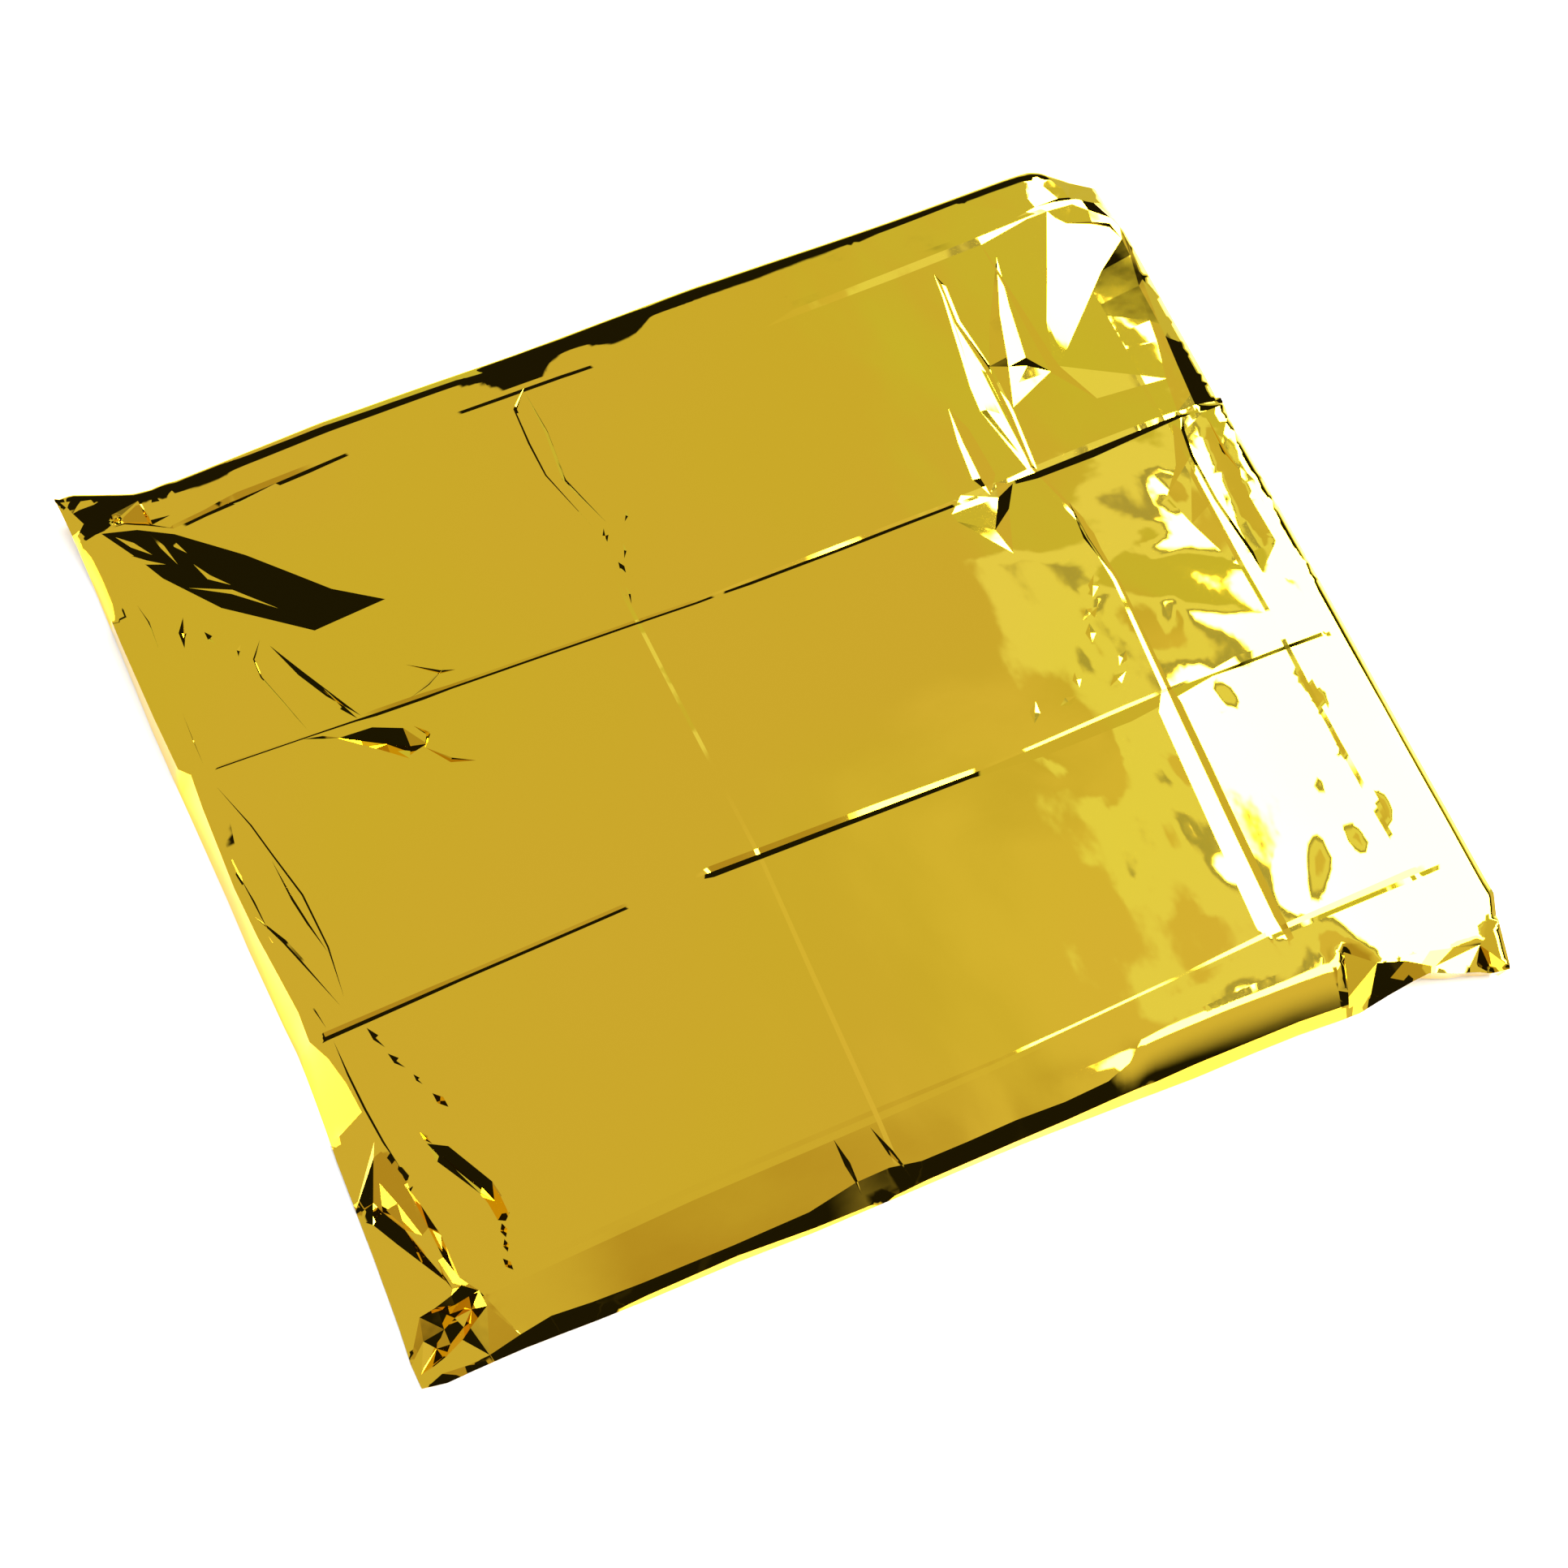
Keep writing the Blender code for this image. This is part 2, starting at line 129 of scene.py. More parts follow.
# The west side: its foot, its bright shoulder and the crease where the top starts to slope.
WEST_SIDE = (
    # y, foot x, foot z, shoulder x, shoulder z, crease x
    (-104, -137.3, 0.4, -130, 6, -118.7),
    (-94, -137.5, 0.3, -130, 6, -118.7),
    (-79, -136.7, 0.2, -130, 6, -118.7),
    (-61, -135.9, 0.2, -126, 10, -119.2),
    (-34, -135.2, 0.2, -125.2, 11.4, -124.4),
    (-26.5, -134.7, 0.2, -125.2, 11.4, -124.4),
    (-18, -134.3, 0.2, -126, 11.4, -125.2),
    (-10, -134, 0.2, -127.8, 11.2, -125.8),
    (-3.6, -133.9, 0.2, -130.5, 9.8, -126.4),
    (5, -134.4, 0.2, -130.2, 9.6, -125.2),
    (28, -135.2, 0.2, -132.4, 9.4, -129.4),
    (43, -135.3, 0.2, -133.1, 9.4, -130.6),
    (67, -135.9, 0.2, -132.7, 9.8, -126.3),
    (77, -136.2, 0.2, -132.2, 10, -128.2),
    (80, -136.3, 0.2, -134.7, 9.4, -128.4),
    (96, -136.6, 0.2, -135.4, 9, -128),
    (120, -136.4, 0.3, -135.9, 9, -127),
    (141, -136.3, 1, -135.9, 9.4, -129),
    (151, -136.6, 5, -136.2, 9.6, -131),
    (158, -137.1, 8, -136.8, 9.6, -132),
    (163, -137.6, 9, -137.2, 9.6, -133),
)
# The east side: its fold and its foot, by the row of the top layer.
EAST_SIDE = (
    # row y, fold x, fold drop, foot x, foot z
    (-104, 190, 0, 190.6, 2),
    (-95, 193.4, 0, 194.6, 2),
    (-90, 197, 0.4, 198.2, 1),
    (-81, 197, 0.6, 198.2, 0.9),
    (10, 197.6, 1.2, 198.4, 0.9),
    (70, 197.6, 1.6, 198.4, 0.9),
    (78, 197.6, 0, 198.4, 0.9),
    (135, 197.4, 0, 198.2, 1),
    (150, 197, 0, 197.8, 2),
    (163, 196.6, 0, 197.2, 6),
)
# The north edge of the top layer, and how far it is turned down.
NORTH_EDGE = (
    # x, y, drop
    (-137.6, 167, 0.1),
    (-116.9, 159.4, 0.1),
    (-110, 159.4, 0.2),
    (-105, 159.4, 0.9),
    (-60, 162.4, 1.1),
    (0, 164, 1.3),
    (45, 165.6, 1),
    (60, 165.7, 0.3),
    (120, 166.2, 0.05),
    (168, 167.4, 0.05),
    (177, 167.4, 0),
    (180.4, 166.2, 0),
    (196.6, 158, 0),
)
# South roll: a gentle strip, then a steep bank and a steeper rim; the bank is straight where its
# curve is 0 and round where it is 1.
SOUTH_ROLL = (
    # x, rim y, rim drop, strip drop, bank top y, bank foot y, bank foot drop, curve
    (-138.6, -96.8, 11, 1, -95.6, -96.6, 4, 0),
    (-137.3, -96.8, 11, 1, -95.6, -96.6, 4, 0),
    (-131, -98.3, 11, 1, -95.8, -98.1, 4, 0),
    (-119, -98.6, 4.1, 1, -96.7, -98.5, 4, 0),
    (-110, -98.8, 3.3, 1, -95.3, -98.7, 3.2, 0),
    (-101, -99.2, 4.6, 1, -94.2, -99.1, 4.5, 0),
    (-90, -99.9, 4.6, 1.3, -95.3, -99.7, 4.5, 0),
    (-76, -100.4, 6, 2, -96.1, -99.4, 4.2, 0),
    (-50, -101.1, 6.4, 1.9, -97, -99.8, 3.8, 0),
    (-28, -102.4, 6, 1.8, -97.3, -101.5, 4.4, 0),
    (-13, -102.8, 6, 1.4, -95.3, -102.1, 5, 0),
    (-3, -103.1, 6.2, 1.1, -95.4, -102.5, 5.2, 0),
    (6, -103.3, 6.6, 1.1, -97.3, -102.3, 4.6, 0),
    (20, -103.6, 7, 1.1, -97.7, -102.6, 4.4, 0),
    (35, -104, 7.2, 1.3, -97.8, -102.9, 4.4, 0),
    (50, -104.8, 7.4, 1.2, -98.8, -103.3, 4.2, 0),
    (64, -105.6, 8, 1.1, -98.6, -103.4, 4.2, 0),
    (72, -106, 8.4, 1, -96.4, -103.6, 4, 0.6),
    (78, -106.4, 8.6, 0.6, -92, -103.9, 5, 1),
    (91, -107.2, 8.8, 0.5, -91, -104, 5, 1),
    (109, -107.7, 8.8, 0.5, -90.5, -104.7, 5, 1),
    (125, -108.4, 8.8, 0.6, -91, -105.3, 5, 1),
    (140, -109.7, 9, 0.8, -92, -106.6, 5, 1),
    (145.6, -110, 9.2, 0.4, -94.6, -106.6, 3.4, 1),
    (147.6, -109.7, 9, 0.2, -97, -107, 3.4, 1),
    (154.4, -109, 3, 0, -99.9, -107, 2, 0),
    (161.5, -108.5, 2.6, 0, -101, -107, 2, 0),
    (167, -108.4, 1.4, 0, -102.4, -107.6, 1, 0),
    (171, -110.3, 1.2, 0, -103.2, -108, 1, 0),
    (176, -112.4, 1.2, 0, -104.5, -110, 1, 0),
    (182, -113.9, 1.6, 0, -106, -111, 1, 0),
    (190, -116.9, 0.6, 0, -106.6, -112, 1, 0),
    (198, -116.9, 0.6, 0, -106.6, -112, 1, 0),
)
# The roll's underside, inwards of its rim.
ROLL_WEST_X = -135.3
ROLL_EAST_X = 189
ROLL_TUCK = 0.3                # half way down
ROLL_UNDERCUT = 1.2            # at the floor
ROLL_TOE = 4                   # from there to the flat of the bottom layer
ROLL_ROUNDING = 2              # how often its corners are cut
# Straight inner layers and the bottom layer, inside the turned-down sides.
INNER_WEST_X = -112
INNER_WEST_NORTH_X = -127
INNER_EAST_X = 191.5
INNER_NORTH_Y = 149
INNER_SOUTH_Y = -86
BOTTOM_WEST_X = -129.6
BOTTOM_NORTH_Y = 150.5
TAPER = 13                     # run of the bottom layer from the roll to its full width
INNER_LIFT = 0.4               # the inner layers' start above the bottom layer
INNER_WAVES = (
    # axis, height, length, shift from layer to layer
    (2, 0.25, 17, 2.1),
    (1, 0.8, 41, 1.3),
)
INNER_BEND_STEPS = 5
NORTH_BEND_STEPS = 8

# Sharp folds: how steep the left and right banks are, seen along the crest line, in degrees, and
# the crest line's points. Negative heights are troughs.
FOLDS = (
    # name, left, right, crest points (x, y, height)
    ("corner blade", 9, 7, ((-129.6, 151.6, 0), (-120.1, 149.9, -1.15), (-111, 145.4, -1.8),
                            (-95.1, 132.6, -2.25), (-77.1, 114.5, -1.75), (-64.7, 105.6, 0))),
    ("blade streak 1", 11, 11, ((-112.6, 145.6, 0), (-111.4, 142, 0.24), (-110, 138.6, 0))),
    ("blade streak 2", 11, 12, ((-124.4, 142.4, 0), (-121, 139.6, 0.26), (-116.6, 137, 0))),
    ("blade streak 3", 12, 12, ((-109.6, 134.6, 0), (-106.6, 129.6, 0.28), (-102.4, 125, 0))),
    ("blade streak 4", 11, 11, ((-113.4, 127.9, 0), (-102.6, 123.3, 0.24), (-93, 113.6, 0))),
    ("blade streak 5", 10, 11, ((-126.4, 149.4, 0), (-122.4, 146, 0.3), (-119, 141, 0))),
    ("blade streak 6", 12, 10, ((-117.4, 147.6, 0), (-115, 142.6, 0.2), (-113.6, 136, 0))),
    ("corner crease", 55, 55, ((-129, 152.4, 0), (-122.6, 152.6, 0.4), (-117.3, 150.5, 0.4),
                               (-110.6, 147, 0))),
    ("lens west left", 32, 30, ((-101.2, 106.4, 0), (-104.6, 101.6, -0.24), (-104.6, 96, -0.26),
                                (-101.8, 87, -0.2), (-98.6, 76, 0))),
    ("lens west right", 30, 24, ((-99.4, 104, 0), (-94.5, 93.3, -0.4), (-89.9, 84.9, -0.4),
                                 (-84, 75.6, 0))),
    ("lens crumple", 22, 26, ((-90.4, 86.8, 0), (-88, 79.8, 0.3), (-85.2, 75.2, 0))),
    ("west line upper", 25, 25, ((-128.1, 128, 0), (-126.8, 122.2, -0.16), (-128, 100, -0.2),
                                 (-128.2, 78, 0))),
    ("west line", 28, 28, ((-127.3, 71, 0), (-122.6, 57.3, -0.24), (-120.3, 47, -0.26),
                           (-117.2, 34, -0.3), (-116.4, 18, -0.26), (-117.9, 3.6, 0))),
    ("west lens edge", 30, 30, ((-121.4, 46, 0), (-120, 33.7, -0.4), (-118.8, 26, -0.36),
                                (-117.2, 16.6, 0))),
    ("west crack a", 28, 24, ((-131.2, 60, 0), (-130.9, 46, -0.24), (-129.6, 37, -0.3),
                              (-129.3, 28.4, 0))),
    ("west crack b", 28, 28, ((-131.2, 33.4, 0), (-126.6, 23.8, -0.3), (-124.1, 16.5, -0.3),
                              (-119.6, 1.8, 0))),
    ("west crack c", 26, 28, ((-129.8, 27, 0), (-128.4, 16, -0.26), (-126.2, 5.4, -0.3),
                              (-125.2, -2.4, 0))),
    ("west crack d", 28, 28, ((-124.8, -6, 0), (-124.4, -16, -0.3), (-123.8, -26, -0.34),
                              (-122.8, -36, -0.3), (-121.6, -44, 0))),
    ("bow arm", 45, 45, ((-71.4, 60.6, 0), (-66.2, 54.6, -0.7), (-60, 52, 0))),
    ("bow arm up", 45, 45, ((-71.4, 60.6, 0), (-69, 64, -0.7), (-71.9, 67.6, 0))),
    ("crack 1", 34, 30, ((-67, 85.2, 0), (-59, 79.6, -0.4), (-54.8, 78.8, 0))),
    ("crack 2", 34, 30, ((-57.5, 80.4, 0), (-63.4, 77.6, -0.34), (-69.4, 75.6, 0))),
    ("bow tail", 28, 28, ((-101, 75, 0), (-96, 73.4, -0.3), (-91.4, 71.6, 0))),
    ("lens b left", 24, 24, ((-2, 153.4, 0), (-7.4, 147.5, -0.24), (-7.6, 136, -0.3),
                             (-7.2, 125, -0.24), (-1.6, 105.6, 0))),
    ("lens b right", 18, 30, ((-2.6, 152, 0), (-1.2, 138, -0.6), (-2.4, 122, -0.7),
                              (2.8, 105, 0))),
    ("east streak", 50, 26, ((189.7, 72, 0), (189.9, 60, -0.6), (190.8, 52, 0))),
    ("cut c", 20, 20, ((135.5, 62, 0), (136, 50, -0.7), (137, 36, 0))),
    ("north ridge", 1.3, 6.6, ((74, 147, 0), (84, 149.6, 0.25), (122, 151.6, 0.3),
                               (150, 153, 0.3), (172, 154.6, 0))),
    ("strip kink 1", 22, 22, ((-14, -82.6, 0), (-13.2, -90, 0.34), (-12.6, -99, 0))),
    ("strip kink 2", 22, 24, ((-3.4, -83.6, 0), (-1, -92, 0.34), (1.8, -100, 0))),
)
# Pits like small pyramids, and knobs where the height is positive.
PITS = (
    # x, y, half length, half width, heading, height
    (-119.4, 115.8, 4.6, 1.4, 72, -0.9),
    (-113.4, 111.8, 2.4, 0.8, 110, -0.4),
    (-107.4, 105.4, 1.8, 0.8, 60, -0.4),
    (-114.4, -9.6, 3.6, 0.9, -70, -0.4),
    (-111.8, -17.4, 3, 0.9, -62, -0.4),
    (-108.6, -24.2, 1.8, 0.6, -70, -0.3),
    (-105.4, -31.6, 2.8, 1.1, -64, -1.2),
    (-112.6, -39.4, 2.2, 0.7, -66, -0.6),
    (-103.6, -69.4, 1.9, 1, -96, -1.1),
    (-104.6, -73.2, 1.7, 0.8, -98, -0.9),
    (-106, -77.8, 2, 0.9, -70, -1),
    (8.8, 105, 1.8, 0.8, 60, 0.5),
    (0.9, 101.4, 2.2, 0.9, 80, -0.5),
    (3.8, 95, 2.4, 0.8, 70, 0.5),
    (1.2, 90.4, 2, 0.8, 100, -0.4),
    (-0.6, 82, 3, 0.7, 84, 0.4),
    (129.5, 35, 3.6, 1.6, 60, 0.06),
    (124.5, 27.4, 3.2, 1.8, 20, -0.06),
    (121.6, 21.8, 3.2, 1.6, 70, 0.06),
    (127, 11.2, 2.6, 1.4, 40, -0.05),
    (122.4, 5.8, 3.6, 1.6, 20, 0.06),
    (110.8, 10.2, 2.4, 1.4, 80, 0.06),
    (105.2, 5.2, 3, 1.4, 10, -0.08),
    (94.4, 5.8, 3.4, 1.6, 60, 0.1),
)
# Dents made of flat facets: their points, with the height above the plain top, and the facets.
DENTS = (
    ("bow", {
        "a": (-92.2, 71.8, 0), "b": (-82.5, 71.4, 0), "c": (-74.8, 68.1, 0),
        "d": (-70.5, 61.4, 0), "e": (-76.5, 59.1, 0), "f": (-85.3, 66.4, 0),
        "g": (-86.6, 69.3, -1.6), "h": (-80.2, 66.4, -3.2), "i": (-74.6, 63.2, -2.3),
    }, "abg bhg bch cih cdi agf ghf hef hie ide"),
    ("slash", {
        "a": (-113, -40.8, 0), "b": (-108.2, -43.6, 0), "c": (-101.4, -56.6, 0),
        "d": (-105.4, -58.4, 0), "e": (-112.4, -46.2, 0), "f": (-110.9, -44.4, -1.2),
        "g": (-104.3, -56.9, -1.15), "h": (-100.6, -61, 0), "i": (-100.4, -65.8, 0),
        "j": (-104, -66.4, 0), "k": (-104.6, -61.4, 0), "l": (-102.6, -61.2, -2.1),
        "m": (-102.2, -65, -1.8), "n": (-102.2, -67.4, 0),
    }, "abf bcg bgf afe efd fgd cgl chl hil iml inm njm jml jlk kld dlg"),
    ("peak", {
        "a": (152.6, 144.6, 0), "b": (140.2, 125, 0), "c": (133.2, 111.6, 0),
        "d": (148.6, 128, 0), "e": (145.4, 110.4, 0), "f": (144.4, 126.4, 0.3),
        "g": (139.6, 112.2, 1), "h": (138.4, 109, 1.15), "i": (132, 105.1, 0),
        "j": (134.1, 96.6, 0), "k": (150.6, 103.4, 0), "l": (144.2, 107.4, 0.7),
        "m": (139.4, 103.4, 0.3),
    }, "abf bcg bgf afd dfe feg cgh cih ghe hle lke hij hjm hml mjk mkl"),
    ("tent", {
        "a": (114.7, 103, 0), "b": (112.4, 92, 0), "c": (111, 79.2, 0),
        "d": (117.6, 94.9, 0), "e": (118.4, 78.4, 0), "f": (113.9, 91.5, -0.34),
        "g": (113.6, 79, -0.34), "h": (114, 73, 0),
    }, "abf bcg bgf afd dfg dge chg hge"),
    ("crumple", {
        "a": (99.9, 71.2, 0), "b": (105.2, 75.8, 0), "c": (117.2, 76, 0),
        "d": (122.1, 73.8, 0), "e": (117, 66.6, 0), "f": (111.5, 53.3, 0),
        "g": (100.3, 68.4, 0), "h": (104.5, 71.4, -0.25), "i": (116, 71.4, -0.85),
        "k": (110, 62, -0.4),
    }, "abh bci bih cdi dei eki hik efk fgk gkh gah"),
    ("slit", {
        "t": (131.2, 146, 0), "a": (130.4, 139, 0), "b": (126.1, 115.9, 0),
        "c": (124.4, 107.1, 0), "d": (123.7, 98.9, 0), "e": (128.8, 75.1, 0),
        "f": (130.9, 138.5, -0.1), "g": (127.4, 115.5, -0.2), "h": (126.2, 107, -0.28),
        "i": (125.9, 98.9, -0.34), "j": (129.8, 77, -0.2), "l": (129.8, 128.7, -0.35),
        "m": (131.7, 110.6, -0.6), "n": (131.3, 94.8, -0.65), "o": (131.9, 142, 0.1),
        "p": (130.6, 128.7, 0.1), "q": (132.8, 110.6, 0.2), "r": (132.4, 94.8, 0.2),
        "s": (130.6, 77, 0.1), "u": (132.8, 141, 0), "v": (131.6, 128.7, 0),
        "w": (133.8, 110, 0), "x": (133.4, 94.8, 0), "y": (131.4, 75.5, 0),
    }, "taf abg agf bch bhg cdi cih dej dji fgl ghm gml hin hnm ijn fop fpl lpq lqm mqr mrn nrs nsj "
       "tfo tou ouv ovp pvw pwq qwx qxr rxy rys jsy jye"),
    ("east shoulder", {
        "a": (182.1, 75.8, 0), "b": (179.8, 71, 0.25), "c": (178.2, 62, 0.4),
        "d": (178.3, 46.6, 0.4), "e": (180.6, 27.2, 0.2), "f": (181, 20, 0),
        "g": (182.8, 75.6, 0), "h": (181, 70.6, -0.05), "i": (179.5, 62, 0),
        "j": (179.7, 46.6, 0), "k": (181.9, 27.2, -0.05), "l": (178.4, 74, 0),
        "m": (172.6, 61.1, 0), "n": (164.9, 52.8, 0), "o": (168, 42, 0),
        "p": (174, 26, 0), "q": (189.4, 74, 0.1), "r": (189.4, 62, 0.3),
        "s": (189.4, 48, 0.3), "t": (190.2, 27.4, 0.15), "u": (192, 12, 0),
        "v": (199.5, 74, 0.2), "w": (199.5, 48, 0.2), "x": (199.5, 12, 0),
    }, "alb lmb bmc mnc cno cod dop dep epf agb gbh bhc hci cid idj dje jek ekf ghq hqr hir irs ijs "
       "jst jkt kft ftu qrv rvs vsw stw twx tux"),
    ("north-east corner", {
        # the white facet
        "A": (175.8, 154.3, -0.36), "B": (165, 133.5, 0.13), "C": (157.3, 119.3, 0.48),
        "D": (153.2, 107.6, 0.65), "E": (153.8, 103.8, 0.6), "F": (156.6, 106.4, 0.46),
        "G": (169.7, 117.9, -0.2), "H": (182.9, 129.6, -0.87), "I": (195.1, 138, -1.5),
        "J": (193.1, 143, -1.37), "K": (187.9, 145.7, -1.07), "L": (179.9, 148.4, -0.61),
        "M": (177.2, 151.3, -0.45), "N": (150, 152.6, 0), "w": (150.5, 103, 0),
        # the flap beside the east fold
        "V": (160, 90, 0), "O": (196.2, 138.2, -1.42), "P": (194.7, 131.6, -1.13),
        "Q": (191.8, 120.7, -0.65), "R": (188.7, 108.2, -0.05), "S": (187.3, 100.9, 0.1),
        "T": (183.8, 88.3, 0.1), "U": (181.8, 77, 0), "a": (196.2, 135.3, -1.15),
        "b": (193.9, 122.3, -0.5), "c": (191, 106, 0.2), "d": (190.6, 101.3, 0.35),
        "e": (189.4, 91.3, 0.4), "f": (188.4, 80.6, 0.35), "g": (188.2, 77, 0.2),
        "l": (199.5, 138, -2.4), "m": (199.5, 124, -2.5), "n": (199.5, 109, -3),
        "o": (199.5, 96, -2.9), "p": (199.5, 84, -3), "q": (199.5, 77, -3.4),
        # the corner itself
        "1": (177.1, 166.4, -0.17), "2": (178.8, 162.7, -0.33), "3": (181.4, 157.4, -0.58),
        "4": (172.7, 156.7, -0.12), "5": (171.8, 160.1, 0), "6": (179.5, 156.4, -0.2),
        "7": (187.3, 155.1, -0.32), "8": (184.9, 154, -0.44), "k": (188.2, 146.4, -0.65),
        "j": (193.6, 143.9, -0.75), "x": (194.8, 145.6, -0.8), "y": (196.4, 141.9, -1.3),
        "h": (180.9, 165.6, -0.3), "i": (184.5, 160.1, -0.4), "r": (185, 156.5, -0.5),
        "s": (188.6, 154.3, -0.6), "t": (189, 150.4, -0.55), "u": (192.4, 152.4, -1.2),
        "v": (196.5, 146.6, -2.4), "W": (181.5, 169, -0.9), "X": (190.5, 164.5, -3.6),
        "Y": (198.8, 160, -4.6), "Z": (199.5, 152, -4.8), "0": (199.5, 143, -3.6),
        "z": (175, 171, -0.1),
    }, "ABM BLM BGL GHL HKL HIK IJK BCG CFG CDF DEF NBA NCB NDC NwD wED wVE VET VTU EST EFS FRS FGR "
       "GQR GHQ HPQ HIP IOP OaP abP bQP bcQ cRQ cdR dSR deS eTS efT fUT fgU Oal aml abm bnm bcn cdn "
       "don deo epo efp fqp fgq N54 N4A 451 412 423 436 A46 A67 A78 A8M M8L 8tL Ltk LkK kKJ kJj tkx "
       "kjx jJI jIy jyx 78s 8ts 12h 2ih 23i 3ri 36r 67r 7sr hWX hXi iXr rXY rYs sYu sut uYZ uZv tux "
       "uvx vZ0 v0y xvy 15z 1zh hzW y0l ylO yOI"),
    ("north-west ear", {
        "T": (-139.5, 170, -2.4), "U": (-139.5, 159, -1.6), "V": (-139, 151, 0),
        "a": (-136.4, 165.7, -1.3), "b": (-134.5, 160.8, -0.85), "c": (-132.9, 156.5, -0.45),
        "d": (-131, 153.9, -0.2), "e": (-128.4, 152.1, 0), "f": (-122.6, 152.6, 0),
        "g": (-117.3, 150.5, 0), "h": (-111.4, 147.5, 0), "i": (-131.3, 163.3, -0.95),
        "j": (-128.3, 161.1, -0.92), "k": (-125.2, 162.1, -0.9), "l": (-125.6, 159.6, -0.75),
        "m": (-125, 156.2, -0.4), "n": (-116.9, 157.8, -0.4), "o": (-116.4, 151.7, -1.6),
        "p": (-125.1, 154.6, -1.6), "q": (-116.7, 159.2, -0.6), "r": (-112.2, 159.4, -0.95),
        "s": (-115.6, 151.5, -0.5), "t": (-110.1, 151, -0.3), "u": (-115.7, 149.9, 0),
        "v": (-107.5, 150, 0), "W": (-128, 167.5, -1.4), "X": (-116.9, 161.8, -0.95),
        "Y": (-112.2, 161.8, -1), "Z": (-107, 161.8, 0),
    }, "TUa Uba UVc Ucb Vdc Ved TaW aiW abi bji bcj cmj dem cdm efm ijk jlk jml iWk kWX klX lnX lmn "
       "mpn pon mfp fop fgo qrs nqs nso nXq qXY qYr rst stu tuh gus gou osu rYZ rtZ tvZ thv"),
)
